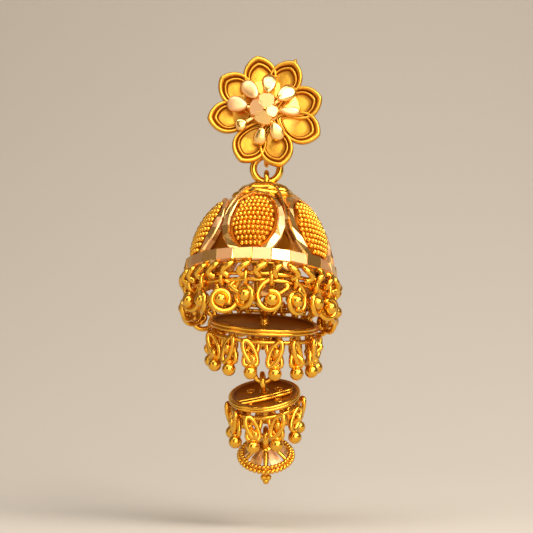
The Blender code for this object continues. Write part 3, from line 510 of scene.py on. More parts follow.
def leaning(back, side):
    """The axes of a tier that leans: a turn about X by back degrees after a turn about Y by side degrees."""
    a, b = np.radians([back, side])
    about_x = np.array([[1, 0, 0], [0, np.cos(a), -np.sin(a)], [0, np.sin(a), np.cos(a)]])
    about_y = np.array([[np.cos(b), 0, np.sin(b)], [0, 1, 0], [-np.sin(b), 0, np.cos(b)]])
    return about_x @ about_y


DOME_AXES = leaning(-8.0, 3.0)

collar = turned_shell(
    [(0, -0.45), (1.4, -0.5), (2.4, -0.68), (3.1, -1.05), (3.5, -1.55), (3.6, -2.0), (3.3, -2.3), (0, -2.2)],
    DOME_EYE, DOME_AXES, columns=96, lobes=9, swell=0.035,
)
collar_step = turned_shell(
    [(0, -1.6), (3.5, -1.9), (4.1, -2.15), (4.35, -2.5), (4.25, -2.8), (3.6, -2.7), (0, -2.3)],
    DOME_EYE, DOME_AXES, columns=96, lobes=7, swell=0.05,
)
top_eye = wires(
    round_loop(DOME_EYE, Y_WAY, Z_WAY, BIG_EYE_RADIUS, BIG_EYE_RADIUS)[None], EYE_WIRE_RADIUS,
    X_WAY[None], closed=True,
)
inner_eye_centre = DOME_EYE + DOME_AXES @ np.array([0, 0, -INNER_EYE_DROP])
inner_eye = wires(
    round_loop(inner_eye_centre, DOME_AXES[:, 1], DOME_AXES[:, 2], SMALL_EYE_RADIUS, SMALL_EYE_RADIUS)[None],
    EYE_WIRE_RADIUS, X_WAY[None], closed=True,
)
add_piece("dome_collar", [collar, collar_step, top_eye, inner_eye], "drawn_wire_gold", "drop", "dome")


# Dome medallions
# Six oval windows filled with rows of fused gold granules on a domed backing sheet, in a plain groove.
# The granules are the part that glitters, each one with its own small highlight.

MEDALLION_COUNT = 6
MEDALLION_MIDDLE = 0.472
FIELD_HALF_HEIGHT = 4.05
FIELD_HALF_WIDTH = 2.52
FIELD_COLUMNS = 64
GRANULE_PITCH = 0.49
GRANULE_ROW_PITCH = 0.7
# Half sizes of a granule: across, up and outwards
GRANULE_HALF = (0.29, 0.34, 0.4)
GRANULE_STEP = 0.1
# A medallion is longer along the bell's curve than the height it covers
CURVE_STRETCH = 1.12


def bell_radius(share):
    """9 mm (0.27 + 0.73 (1 - (1 - share)^1.9)^0.66), with share from 0 at the neck to 1 at the mouth."""
    inner = np.clip(1 - np.clip(1 - share, 0, None) ** 1.9, 1e-6, None)
    return DOME_RADIUS * (0.27 + 0.73 * inner**0.66)


def dome_surface(degrees, share, out):
    """The bell's radius, falling evenly by 12.6 mm, plus out mm along the normal of that curve."""
    degrees, share, out = np.broadcast_arrays(degrees, np.clip(share, 0.012, 1.06), out)
    slope = (bell_radius(share + 0.005) - bell_radius(share - 0.005)) / (0.01 * DOME_HEIGHT)
    size = np.sqrt(1 + slope**2)
    reach = bell_radius(share) + out / size
    height = DOME_TOP - share * DOME_HEIGHT + out * slope / size
    angle = np.radians(degrees + DOME_TURN)
    local = np.stack([reach * np.sin(angle), -reach * np.cos(angle), height], axis=-1)
    return DOME_EYE + local @ DOME_AXES.T


def medallion_surface(middle, across, down, out):
    """A point of a medallion from mm across and mm down from its middle, laid on the dome's surface."""
    share = MEDALLION_MIDDLE + down / (DOME_HEIGHT * CURVE_STRETCH)
    return dome_surface(middle + np.degrees(across / bell_radius(share)), share, out)


def beads(centres, axes, columns=12, rows=6):
    """Beads: centre + axes (sin p cos a, sin p sin a, cos p), p from pole to pole.

    The columns of axes are the bead's half sizes.
    """
    fall = np.pi * np.arange(1, rows) / rows
    around = np.linspace(0, 2 * np.pi, columns, endpoint=False)
    fall, around = np.meshgrid(fall, around, indexing="ij")
    unit = np.stack([np.sin(fall) * np.cos(around), np.sin(fall) * np.sin(around), np.cos(fall)], axis=-1)
    rings = centres[:, None, None] + np.einsum("nij,rcj->nrci", axes, unit)
    poles = centres[:, None] + np.stack([axes[:, :, 2], -axes[:, :, 2]], axis=1)
    return shells(rings, poles)


medallion_middles = 30.0 + 60.0 * np.arange(MEDALLION_COUNT)
around = np.linspace(0, 2 * np.pi, FIELD_COLUMNS, endpoint=False)
# Share of the way out, mm out from the dome, painted shade: the crowned field, the groove, and the sheet's
# back
field_rows = np.array(
    [
        (0.10, 0.50, 0.6), (0.40, 0.48, 0.6), (0.70, 0.38, 0.6), (0.90, 0.24, 0.7), (0.97, 0.12, 1.0),
        (1.00, -0.05, 1.0), (1.07, -0.08, 1.0), (1.14, 0.10, 0.6), (1.14, -0.35, 0.5), (0.80, -0.35, 0.5),
        (0.40, 0.05, 0.5), (0.10, 0.10, 0.5),
    ]
)
field_across = FIELD_HALF_WIDTH * field_rows[:, 0, None] * np.sin(around)
field_down = -FIELD_HALF_HEIGHT * field_rows[:, 0, None] * np.cos(around)
field_rings = medallion_surface(
    medallion_middles[:, None, None], field_across[None], field_down[None], field_rows[:, 1, None]
)
fields = shells(field_rings, field_rings[:, [0, -1]].mean(axis=2))

grain_rows = np.arange(-5, 6)
grain_columns = np.arange(-7, 8)
grain_row, grain_column = [spots.ravel() for spots in np.meshgrid(grain_rows, grain_columns, indexing="ij")]
# Each level row is laid by hand, so it starts at its own place
row_starts = rng.uniform(-0.5, 0.5, len(grain_rows))[grain_row - grain_rows[0]]
grain_down = grain_row * GRANULE_ROW_PITCH
grain_across = (grain_column + row_starts) * GRANULE_PITCH
grain_reach = np.hypot(grain_across / FIELD_HALF_WIDTH, grain_down / FIELD_HALF_HEIGHT)
kept = grain_reach < 0.96
grain_down, grain_across, grain_reach = grain_down[kept], grain_across[kept], grain_reach[kept]
grain_out = 0.08 + 0.52 * np.sqrt(1 - grain_reach**2)
grain_spots = [
    medallion_surface(
        medallion_middles[:, None], grain_across[None], grain_down[None] - higher, grain_out[None] + further
    ).reshape(-1, 3)
    for higher, further in ((0.0, 0.0), (GRANULE_STEP, 0.0), (0.0, GRANULE_STEP))
]
grain_up = (grain_spots[1] - grain_spots[0]) / GRANULE_STEP
grain_outward = (grain_spots[2] - grain_spots[0]) / GRANULE_STEP
grain_sizes = rng.uniform(0.92, 1.04, (len(grain_spots[0]), 1))
grain_axes = np.stack(
    [
        GRANULE_HALF[0] * grain_sizes * np.cross(grain_up, grain_outward),
        GRANULE_HALF[1] * grain_sizes * grain_up,
        GRANULE_HALF[2] * grain_sizes * grain_outward,
    ],
    axis=-1,
)
granules = beads(grain_spots[0], grain_axes)
# Painted shade: the field under the granules half dark, the groove darkest, the granules none
medallion_painted_shade = np.tile(np.r_[np.repeat(field_rows[:, 2], FIELD_COLUMNS), 0.5, 0.5], MEDALLION_COUNT)
add_piece(
    "dome_medallions", [fields, granules], "drawn_wire_gold", "drop", "dome",
    painted_shade=np.r_[medallion_painted_shade, np.zeros(len(granules[0]))],
)


# Dome frames
# A strip frames each medallion: thin at its top, and a wide polished strip at its foot, cut into flats by
# a diamond tool. A leaf of sheet joins each one to the collar, with a divider strip between two.

FRAME_STEPS = 20
FRAME_GAP = 0.34
FRAME_SINK = 0.35
CROWN_COLUMNS = 15
CROWN_TOP = 0.02
CROWN_MIDDLE = 0.13
# Across for each degree, 5.2 mm from the bell's axis
CROWN_DEGREE = 5.2 / 57.3
frame_turn = 2 * np.pi * (np.arange(FRAME_STEPS) + 0.5) / FRAME_STEPS
# Cross-section of the strip: share of its width, mm out from the dome, share of the flats' tilt
frame_section = np.array(
    [(0.0, -0.3, 0), (0.0, 0.35, 0), (0.14, 0.55, 1), (0.86, 0.5, -1), (1.0, 0.3, 0), (1.0, -0.3, 0)]
)
frame_width = 0.3 + 0.8 * np.clip(0.8 - 0.9 * np.cos(frame_turn), 0, 1)
frame_tilt = rng.uniform(-0.1, 0.1, (MEDALLION_COUNT, FRAME_STEPS, 1))
frame_beyond = FRAME_GAP + frame_section[:, 0] * frame_width[:, None]
# The foot of each frame sinks in, under the belt
frame_sink = FRAME_SINK * np.clip(-2 - 3 * np.cos(frame_turn), 0, 1)[:, None]
frame_rings = medallion_surface(
    medallion_middles[:, None, None],
    ((FIELD_HALF_WIDTH + frame_beyond) * np.sin(frame_turn)[:, None])[None],
    (-(FIELD_HALF_HEIGHT + frame_beyond) * np.cos(frame_turn)[:, None])[None],
    frame_section[:, 1] + frame_section[:, 2] * frame_tilt - frame_sink,
)
frames = shells(frame_rings)
frame_satin = np.repeat(rng.choice([0.0, 0.15, 0.7, 1.0], MEDALLION_COUNT * FRAME_STEPS), len(frame_section))

# The foot of a leaf follows the oval round the medallion: down = -half height (1 - across^2)^0.5
crown_degrees = 24.0 * np.linspace(-1, 1, CROWN_COLUMNS)
crown_across = np.clip(crown_degrees * CROWN_DEGREE / (FIELD_HALF_WIDTH + 0.35), -0.93, 0.93)
crown_rise = (FIELD_HALF_HEIGHT + 0.2) * np.sqrt(1 - crown_across**2)
crown_foot = MEDALLION_MIDDLE - crown_rise / (DOME_HEIGHT * CURVE_STRETCH)
crown_edge = np.r_[crown_foot, np.full(CROWN_COLUMNS, CROWN_TOP)]
crown_turn = np.r_[crown_degrees, crown_degrees[::-1]]
crown_grow = np.array([0.15, 0.6, 1.0, 1.0, 0.6, 0.15])[:, None]
crown_rings = dome_surface(
    medallion_middles[:, None, None] + (crown_turn * crown_grow)[None],
    (CROWN_MIDDLE + (crown_edge - CROWN_MIDDLE) * crown_grow)[None],
    np.array([0.0, 0.0, -0.05, -0.3, -0.3, -0.3])[:, None],
)
crowns = shells(crown_rings, crown_rings[:, [0, -1]].mean(axis=2))

divider_middles = 60.0 * np.arange(MEDALLION_COUNT)
divider_share = np.linspace(0.03, 0.44, 24)
divider_half = np.interp(divider_share, [0.03, 0.12, 0.3, 0.4, 0.44], [3.0, 1.6, 1.1, 1.6, 3.6])
# Cross-section of a divider: share of its half width, mm out
divider_section = np.array([(-1.0, -0.3), (-1.0, 0.25), (-0.4, 0.42), (0.4, 0.42), (1.0, 0.25), (1.0, -0.3)])
divider_rings = dome_surface(
    divider_middles[:, None, None] + (divider_half[:, None] * divider_section[:, 0])[None],
    divider_share[None, :, None],
    divider_section[:, 1][None, None],
)
dividers = shells(divider_rings, divider_rings[:, [0, -1]].mean(axis=2))
add_piece(
    "dome_frames", [frames, crowns, dividers], "diamond_cut_gold", "drop", "dome", flat=True,
    facet=np.r_[frame_satin, np.full(face_count(crowns, dividers), 0.2)],
)


# Dome band
# The strongest line of the bell: a belt of plain strip cut into bright flats all round, each held to the
# tool at its own tilt. Under it a small pointed drop hangs between each two windows.

BAND_FLATS = 26
BAND_JOINT = 0.35
flat_turn = 360.0 * np.arange(BAND_FLATS)[:, None] / BAND_FLATS
band_turn = (flat_turn + np.array([BAND_JOINT, 360 / BAND_FLATS - BAND_JOINT])).ravel()
# Cross-section of the belt: share of the dome's height, mm out, share of the flats' tilt
band_section = np.array(
    [
        (0.764, -0.4, 0), (0.764, 0.35, 0), (0.776, 0.66, 1), (0.880, 0.66, -1), (0.892, 0.4, 0),
        (0.892, -0.4, 0),
    ]
)
band_nod = np.repeat(rng.uniform(-0.15, 0.15, BAND_FLATS), 2)
band_skew = (rng.uniform(-0.1, 0.1, (BAND_FLATS, 1)) * [1, -1]).ravel()
band_moved = np.abs(band_section[:, 2]) * band_skew[:, None] + band_section[:, 2] * band_nod[:, None]
band = shells(dome_surface(band_turn[:, None], band_section[:, 0], band_section[:, 1] + band_moved)[None])
band_satin = rng.choice([0.0, 0.0, 0.25, 0.8, 1.0], BAND_FLATS)
band_satin = np.repeat(np.stack([band_satin, 0 * band_satin], axis=1).ravel(), len(band_section))

DROP_TOP = 0.87
drop_share = np.linspace(DROP_TOP, 0.965, 8)
drop_half = 6.5 * np.sqrt(1 - ((drop_share - DROP_TOP) / 0.1) ** 1.4)
drop_section = np.array([(-1.0, -0.2), (-1.0, 0.3), (0.0, 0.6), (1.0, 0.3), (1.0, -0.2)])
drop_rings = dome_surface(
    divider_middles[:, None, None] + (drop_half[:, None] * drop_section[:, 0])[None],
    drop_share[None, :, None],
    drop_section[:, 1][None, None],
)
drops = shells(drop_rings, drop_rings[:, [0, -1]].mean(axis=2))
add_piece(
    "dome_band", [band, drops], "diamond_cut_gold", "drop", "dome", flat=True,
    facet=np.r_[band_satin, np.full(face_count(drops), 0.1)],
)


# Dome gallery
# Thirty short bent wires are soldered under the belt and run down over the mouth wire of the bell. Each one
# swings to one side and back, by 3.2 degrees round the bell, and bows outwards by 0.75 mm.

GALLERY_COUNT = 30
GALLERY_WIRE = 0.37
GALLERY_SWING = 3.2
GALLERY_BOW = 0.75
MOUTH_WIRE = 0.26
gallery_middles = 360.0 * (np.arange(GALLERY_COUNT) + 0.25) / GALLERY_COUNT
gallery_way = np.linspace(0, 1, 18)
gallery_hand = rng.choice([1.0, -1.0, 0.6], (GALLERY_COUNT, 1))
gallery_paths = dome_surface(
    gallery_middles[:, None] + GALLERY_SWING * gallery_hand * np.sin(2 * np.pi * gallery_way),
    0.885 + 0.15 * gallery_way,
    0.1 + GALLERY_BOW * np.sin(np.pi * gallery_way),
)
gallery_ways = dome_surface(gallery_middles, 0.94, 1.0) - dome_surface(gallery_middles, 0.94, 0.0)
uprights = wires(gallery_paths, GALLERY_WIRE, gallery_ways, 10)
mouth_turns = np.linspace(0, 360, 96, endpoint=False)
mouth_path = dome_surface(mouth_turns, 1.0, -0.25)
mouth_wire = wires(mouth_path[None], MOUTH_WIRE, DOME_AXES[:, 2][None], 10, True)
# A narrow ring of sheet behind the foot of the belt: share of the bell's height, mm out
lining_rows = np.array([(0.885, -0.1), (0.90, -0.1), (0.905, -0.22), (0.89, -0.3), (0.875, -0.2)])
lining = shells(dome_surface(mouth_turns[:, None], lining_rows[:, 0], lining_rows[:, 1])[None])
add_piece("dome_gallery", [uprights, mouth_wire, lining], "drawn_wire_gold", "drop", "dome")


# Dome fringe
# A wire ring under the mouth carries nineteen units. Each is a thick wire that comes down from the ring and
# winds round a hollow ball like a 6, with a bent hook behind it. Each one is turned a little differently.

FRINGE_WIRE = 0.27
CURL_WIRE = 0.33
DOME_FRINGE_COUNT = 19
DOME_FRINGE_RADIUS = 8.64
DOME_FRINGE_DROP = 14.94
DOME_BALL_DROP = 2.0
DOME_BALL_OUT = 0.6
DOME_BALL_RADIUS = 0.8


def fringe_places(eye, axes, radius, drop, count):
    """Middle of each hook on a fringe ring, with its way out and its way along the ring."""
    angle = 2 * np.pi * (np.arange(count) + 0.5) / count
    zero = np.zeros(count)
    outward = np.stack([np.sin(angle), -np.cos(angle), zero], axis=-1)
    sideways = np.stack([np.cos(angle), np.sin(angle), zero], axis=-1)
    return eye + (radius * outward - drop * Z_WAY) @ axes.T, outward, sideways


def fringe_ring(eye, axes, radius, drop):
    """The round wire that carries a fringe: eye + axes (radius cos a, radius sin a, -drop)."""
    angle = np.linspace(0, 2 * np.pi, 96, endpoint=False)
    circle = np.stack([radius * np.cos(angle), radius * np.sin(angle), np.full(96, -drop)], axis=-1)
    return wires((eye + circle @ axes.T)[None], FRINGE_WIRE, axes[:, 2][None], 10, True)


def curls(balls, outward, across, hand, widths, reach, turns, steps=48):
    """Spirals like a 6 about each ball: distance = width + (reach - width) (1 - s)^3, turning from the top.

    Each spiral has its own width and turns. The wire lies 0.35 mm behind the ball's middle at its top and
    0.15 mm in front of it at its end.
    """
    share = np.linspace(0, 1, steps)
    angle = np.pi / 2 + 2 * np.pi * turns[:, None] * share
    distance = widths[:, None] + (reach - widths[:, None]) * (1 - share) ** 3
    paths = (
        balls[:, None]
        + (hand[:, None] * distance * np.cos(angle))[..., None] * across[:, None]
        + (distance * np.sin(angle))[..., None] * Z_WAY
        + (0.5 * share - 0.35)[None, :, None] * outward[:, None]
    )
    return wires(paths, CURL_WIRE, np.cross(across, Z_WAY), 10)


def hooks(places, outward, across, hand, width, drop, steps=26):
    """Hooks like a 2: across = hand width sin(2 pi s), height = -drop s, bowed 0.25 mm outwards."""
    share = np.linspace(0, 1, steps)
    side = width * np.sin(2 * np.pi * share) * np.minimum(1, 3 * share)
    paths = (
        places[:, None]
        + (hand[:, None] * side)[..., None] * across[:, None]
        - (drop * share)[None, :, None] * Z_WAY
        + (0.25 * np.sin(np.pi * share))[None, :, None] * outward[:, None]
    )
    return wires(paths, CURL_WIRE, np.cross(across, Z_WAY), 10)


def ring_links(centres, across, upward, half_width, half_height, wire, steps=28):
    """Closed oval links: centre + half_width cos a across + half_height sin a upward."""
    angle = np.linspace(0, 2 * np.pi, steps, endpoint=False)
    paths = (
        centres[:, None]
        + half_width * np.cos(angle)[None, :, None] * across[:, None]
        + half_height * np.sin(angle)[None, :, None] * upward[:, None]
    )
    return wires(paths, wire, np.cross(across, upward), 10, True)


def twisted(outward, sideways, degrees):
    """The way across of each unit, turned from along the ring towards the front by so many degrees."""
    angle = np.radians(degrees)[:, None]
    return sideways * np.cos(angle) + outward * np.sin(angle)


def round_balls(centres, radius):
    """Hollow balls as round beads, with 22 columns and 12 rows of faces."""
    return beads(centres, np.broadcast_to(radius * np.eye(3), (len(centres), 3, 3)), 22, 12)


places, outward, sideways = fringe_places(
    DOME_EYE, DOME_AXES, DOME_FRINGE_RADIUS, DOME_FRINGE_DROP, DOME_FRINGE_COUNT
)
hand = rng.choice([1.0, -1.0], DOME_FRINGE_COUNT)
twist = 26.0 * hand + rng.uniform(-22, 22, DOME_FRINGE_COUNT)
across = twisted(outward, sideways, twist)
ups = np.broadcast_to(Z_WAY, across.shape)
dome_balls = places + DOME_BALL_OUT * outward - DOME_BALL_DROP * Z_WAY
dome_balls = dome_balls + rng.uniform(-0.35, 0.3, (DOME_FRINGE_COUNT, 1)) * Z_WAY
curl_widths = rng.uniform(0.82, 1.05, DOME_FRINGE_COUNT)
curl_turns = rng.uniform(1.05, 1.5, DOME_FRINGE_COUNT)
rear_shift = np.pi * DOME_FRINGE_RADIUS / DOME_FRINGE_COUNT * sideways - 0.5 * outward
rear_across = twisted(outward, sideways, 0.6 * twist)
add_piece(
    "dome_fringe_wire",
    [
        fringe_ring(DOME_EYE, DOME_AXES, DOME_FRINGE_RADIUS, DOME_FRINGE_DROP),
        curls(dome_balls, outward, across, hand, curl_widths, DOME_BALL_DROP + 0.35, curl_turns),
        hooks(places + rear_shift + 0.2 * Z_WAY, outward, rear_across, hand, width=0.75, drop=3.0),
        ring_links(
            places + 0.1 * outward + 0.25 * Z_WAY, outward, ups, half_width=0.62, half_height=0.85, wire=0.26
        ),
    ],
    "drawn_wire_gold", "drop", "dome_fringe",
)
add_piece(
    "dome_fringe_balls", [round_balls(dome_balls + 0.12 * outward, DOME_BALL_RADIUS)], "drawn_wire_gold",
    "drop", "dome_fringe",
)


# Long link
# A long narrow link of round gold wire, bent round both eyes and soldered shut. It carries everything
# below the dome from the eye inside it.

LINK_WIRE = 0.33
LINK_HALF_WIDTH = 1.07
LINK_SLACK = 0.05
MIDDLE_EYE_DROP = 13.4


def add_link(name, node, top, foot):
    """A straight-sided link between two eyes, faced to the front: an oval path with its ends on the eyes."""
    upward = (top - foot) / np.linalg.norm(top - foot)
    side = X_WAY - upward * (X_WAY @ upward)
    side /= np.linalg.norm(side)
    half = np.linalg.norm(top - foot) / 2 - LINK_SLACK
    path = round_loop((top + foot) / 2, side, upward, LINK_HALF_WIDTH, half, 72)
    wire = wires(path[None], LINK_WIRE, np.cross(side, upward)[None], 12, True)
    add_piece(name, [wire], "drawn_wire_gold", "drop", node)


middle_eye = inner_eye_centre + leaning(-5.6, 0.0) @ np.array([0, 0, -MIDDLE_EYE_DROP])
add_link("long_link_wire", "long_link", inner_eye_centre, middle_eye)


# Middle plate
# A shallow dish of rolled sheet, left matt inside, with two round wires soldered round its edge. A short
# stem holds the eye above it and the eye below.

MIDDLE_AXES = leaning(12.0, 4.0)
RIM_WIRE = 0.24


def add_plate(node, eye, axes, radius, drop, half, extra):
    """A dish turned from its profile, two rim wires, a stem and two eyes, all about the tier's own axis."""
    top, foot = half - drop, -half - drop
    profile = np.array(
        [
            # radius, height, painted shade
            (0, top - 0.5, 0.3),
            (radius - 1.3, top - 0.5, 0.35),
            (radius - 0.75, top - 0.12, 0.7),
            (radius - 0.4, top - 0.05, 0.3),
            (radius - 0.25, 0.1 - drop, 1.0),
            (radius - 0.25, -0.1 - drop, 1.0),
            (radius - 0.4, foot + 0.05, 0.3),
            (radius - 1.2, foot - 0.25, 0.4),
            (0, foot - 0.3, 0.4),
        ]
    )
    dish = turned_shell(profile[:, :2], eye, axes, 96)
    angle = np.linspace(0, 2 * np.pi, 120, endpoint=False)
    levels = np.array([half - 0.24, 0.24 - half]) - drop
    circles = (radius - RIM_WIRE) * np.stack([np.cos(angle), np.sin(angle), 0 * angle], axis=-1)
    rims = wires(
        eye + (circles + levels[:, None, None] * Z_WAY) @ axes.T, RIM_WIRE,
        np.broadcast_to(axes[:, 2], (2, 3)), 10, True,
    )
    stem = turned_shell(
        [(0, -0.9), (0.55, -1.0), (0.5, -1.3), (0.62, top - 0.55), (0.95, top - 0.6), (0.95, top - 0.8),
         (0, top - 0.8)],
        eye, axes, 20,
    )
    low_eye = eye + axes @ np.array([0, 0, foot - 0.3 - SMALL_EYE_RADIUS])
    eyes = [
        wires(
            round_loop(place, axes[:, 1], axes[:, 2], SMALL_EYE_RADIUS, SMALL_EYE_RADIUS)[None],
            EYE_WIRE_RADIUS, axes[:, 0][None], closed=True,
        )
        for place in (eye, low_eye)
    ]
    # Painted shade on the dish: darkest at the edge between the rim wires
    dish_painted_shade = np.r_[np.repeat(profile[1:-1, 2], 96), profile[[0, -1], 2]]
    add_piece(node + "_dish", [dish], "sandblasted_gold", "drop", node, painted_shade=dish_painted_shade)
    add_piece(node + "_rim", [rims, stem, *eyes, *extra], "drawn_wire_gold", "drop", node)
    return low_eye


middle_low_eye = add_plate(
    "middle_plate", middle_eye, MIDDLE_AXES, radius=6.8, drop=2.0, half=0.45, extra=[]
)


# Middle fringe
# Fourteen units under the plate: a doubled oval link through the edge wire, a bent hook and a hollow ball
# with a small cap where the hook is soldered in.

LINK_PAIR_WIRE = 0.31
LINK_PAIR_HALF_WIDTH = 0.66
PLATE_BALL_RADIUS = 0.83


def add_plate_fringe(node, eye, axes, radius, drop, count, ball_drop):
    """The edge wire, and at each place two oval links that part like a V, a hook and a capped ball."""
    places, outward, sideways = fringe_places(eye, axes, radius, drop, count)
    hand = rng.choice([1.0, -1.0], count)
    twist = 20.0 * hand + rng.uniform(-18, 18, count)
    across = twisted(outward, sideways, twist)
    ups = np.broadcast_to(Z_WAY, across.shape)
    balls = places + 0.1 * outward - ball_drop * Z_WAY
    link_half = (ball_drop - 0.75) / 2
    link_places = places - (link_half - 0.1) * Z_WAY
    leaning_ups = ups + 0.4 * hand[:, None] * across
    link_pairs = [
        ring_links(
            link_places + shift * outward, across, way, LINK_PAIR_HALF_WIDTH, link_half, LINK_PAIR_WIRE
        )
        for shift, way in ((0.25, leaning_ups), (-0.25, 2 * ups - leaning_ups))
    ]
    hook_across = twisted(outward, sideways, twist + 60)
    bent_hooks = hooks(places - 0.35 * Z_WAY, outward, hook_across, hand, width=0.6, drop=ball_drop - 1.1)
    parts = [fringe_ring(eye, axes, radius, drop), *link_pairs, bent_hooks]
    add_piece(node + "_wire", parts, "drawn_wire_gold", "drop", node)
    caps = ring_links(
        balls + 0.78 * Z_WAY, outward, sideways, half_width=0.3, half_height=0.3, wire=0.15, steps=16
    )
    add_piece(node + "_balls", [round_balls(balls, PLATE_BALL_RADIUS), caps], "drawn_wire_gold", "drop", node)


add_plate_fringe(
    "middle_fringe", middle_eye, MIDDLE_AXES, radius=6.44, drop=3.21, count=14, ball_drop=3.7
)


# Middle link
# A short link of the same wire, made the same way. It carries the lower plate from the eye under the
# middle one.

LOWER_EYE_DROP = 5.4
lower_eye = middle_low_eye - LOWER_EYE_DROP * Z_WAY
add_link("middle_link_wire", "middle_link", middle_low_eye, lower_eye)


# Lower plate
# A smaller dish of the same sheet that leans further forward. Two wires are soldered across it, and four
# eyelets of thin wire are set round its stem.

LOWER_AXES = leaning(24.0, -5.0)
STRAP_LEVEL = -1.6
STRAP_WIRE = 0.23
EYELET_PLACE = 2.5
EYELET_RADIUS = 0.45
EYELET_WIRE = 0.13
EYELET_LEVEL = -1.78
strap_way = np.linspace(-1, 1, 12)[:, None]
strap_paths = np.stack(
    [
        strap_way * [3.6, 1.3, 0] + (1 - strap_way**2) * [0, -0.5, 0.1] + [0, shift, STRAP_LEVEL]
        for shift in (-0.35, -1.15)
    ]
)
strap_normals = np.broadcast_to(LOWER_AXES[:, 2], (2, 3))
straps = wires(lower_eye + strap_paths @ LOWER_AXES.T, STRAP_WIRE, strap_normals, 8)
eyelet_turn = np.radians(45 + 90 * np.arange(4))
eyelet_local = np.stack(
    [
        EYELET_PLACE * np.sin(eyelet_turn),
        -EYELET_PLACE * np.cos(eyelet_turn),
        np.full(4, EYELET_LEVEL),
    ],
    axis=-1,
)
eyelets = ring_links(
    lower_eye + eyelet_local @ LOWER_AXES.T, np.broadcast_to(LOWER_AXES[:, 0], (4, 3)),
    np.broadcast_to(LOWER_AXES[:, 1], (4, 3)), EYELET_RADIUS, EYELET_RADIUS, EYELET_WIRE,
)
lower_low_eye = add_plate(
    "lower_plate", lower_eye, LOWER_AXES, radius=4.5, drop=1.7, half=0.4, extra=[straps, eyelets]
)


# Lower fringe
# Nine units of gold wire and balls like those of the middle fringe, on an edge wire soldered under the
# lower plate.

add_plate_fringe("lower_fringe", lower_eye, LOWER_AXES, radius=4.14, drop=2.86, count=9, ball_drop=3.5)


# Lower link
# The last link, of the same wire, closed round the eye under the lower plate and the eye of the end cap.
# It is bent and soldered like the others.

CAP_EYE_DROP = 3.6
cap_eye = lower_low_eye - CAP_EYE_DROP * Z_WAY
add_link("lower_link_wire", "lower_link", lower_low_eye, cap_eye)


# End cap
# A tiny pierced bell: six flat cut leaves, a rib wire between each two, and two rows of granules round its
# edge. The leaves are worn to a satin peach, some more than others.

CAP_AXES = leaning(36.0, 0.0)
CAP_TOP = -1.185
CAP_RADIUS = 3.3
CAP_HEIGHT = 1.6
CAP_LOW_EYE_DROP = 2.785
CAP_LEAF_COUNT = 6
CAP_BEADS = 38
CAP_BEAD_RADIUS = 0.29
CAP_WIRE = 0.24


def cap_surface(degrees, share, out):
    """Radius 3.3 (0.3 + 0.68 share), falling by 1.6 mm (0.75 share + 0.25 share^3), plus out mm upwards."""
    angle = np.radians(degrees)
    reach = CAP_RADIUS * (0.3 + 0.68 * share) + 0.4 * out
    height = CAP_TOP - CAP_HEIGHT * (0.75 * share + 0.25 * share**3) + 0.9 * out
    angle, reach, height = np.broadcast_arrays(angle, reach, height)
    local = np.stack([reach * np.sin(angle), -reach * np.cos(angle), height], axis=-1)
    return cap_eye + local @ CAP_AXES.T


leaf_share = np.array([0.05, 0.3, 0.6, 0.85, 1.0])
leaf_half = np.array([12.0, 16.0, 18.0, 14.0, 8.0])
leaf_section = np.array([(-1.0, -0.2), (-1.0, 0.08), (0.0, 0.16), (1.0, 0.08), (1.0, -0.2)])
rib_turns = 360.0 * np.arange(CAP_LEAF_COUNT) / CAP_LEAF_COUNT
leaf_rings = cap_surface(
    (rib_turns + 30.0)[:, None, None] + (leaf_half[:, None] * leaf_section[:, 0])[None],
    leaf_share[None, :, None],
    leaf_section[:, 1][None, None],
)
cap_leaves = shells(leaf_rings, leaf_rings[:, [0, -1]].mean(axis=2))
add_piece(
    "end_cap_leaves", [cap_leaves], "diamond_cut_gold", "drop", "end_cap", flat=True,
    facet=np.repeat([1.0, 0.5, 0.8, 0.4, 0.6, 0.9], face_count(cap_leaves) // CAP_LEAF_COUNT),
)

cap_hub = turned_shell(
    [(0, -0.85), (0.7, -0.9), (1.15, -1.1), (1.25, -1.4), (1.2, -1.7), (0, -1.7)],
    cap_eye, CAP_AXES, columns=32,
)
cap_low_eye = cap_eye + CAP_AXES @ np.array([0, 0, -CAP_LOW_EYE_DROP])
cap_eyes = [
    wires(
        round_loop(place, CAP_AXES[:, 1], CAP_AXES[:, 2], SMALL_EYE_RADIUS, SMALL_EYE_RADIUS)[None],
        EYE_WIRE_RADIUS, X_WAY[None], closed=True,
    )
    for place in (cap_eye, cap_low_eye)
]
rib_paths = cap_surface(rib_turns[:, None], np.linspace(0.1, 1.0, 10), 0.05)
ribs = wires(rib_paths, CAP_WIRE, np.broadcast_to(CAP_AXES[:, 2], (CAP_LEAF_COUNT, 3)), 8)
bead_turns = 2 * np.pi * np.arange(CAP_BEADS) / CAP_BEADS
bead_circle = np.stack([np.cos(bead_turns), np.sin(bead_turns), 0 * bead_turns], axis=-1)
# Radius and level of each row of beads
bead_rows = np.array([(3.4, -2.74), (3.05, -2.3)])
bead_local = (bead_rows[:, :1, None] * bead_circle + bead_rows[:, 1:, None] * Z_WAY).reshape(-1, 3)
bead_axes = np.broadcast_to(CAP_BEAD_RADIUS * np.eye(3), (len(bead_local), 3, 3))
rim_beads = beads(cap_eye + bead_local @ CAP_AXES.T, bead_axes, 10, 6)
rim_local = 3.15 * bead_circle - 2.78 * Z_WAY
rim_wire = wires((cap_eye + rim_local @ CAP_AXES.T)[None], CAP_WIRE, CAP_AXES[:, 2][None], 10, True)
add_piece(
    "end_cap_rim", [cap_hub, *cap_eyes, ribs, rim_beads, rim_wire], "drawn_wire_gold", "drop", "end_cap"
)


# Finial
# A small ring of round wire through the eye in the end cap, with a shank and a cluster of three granules
# and one below, all fused together.

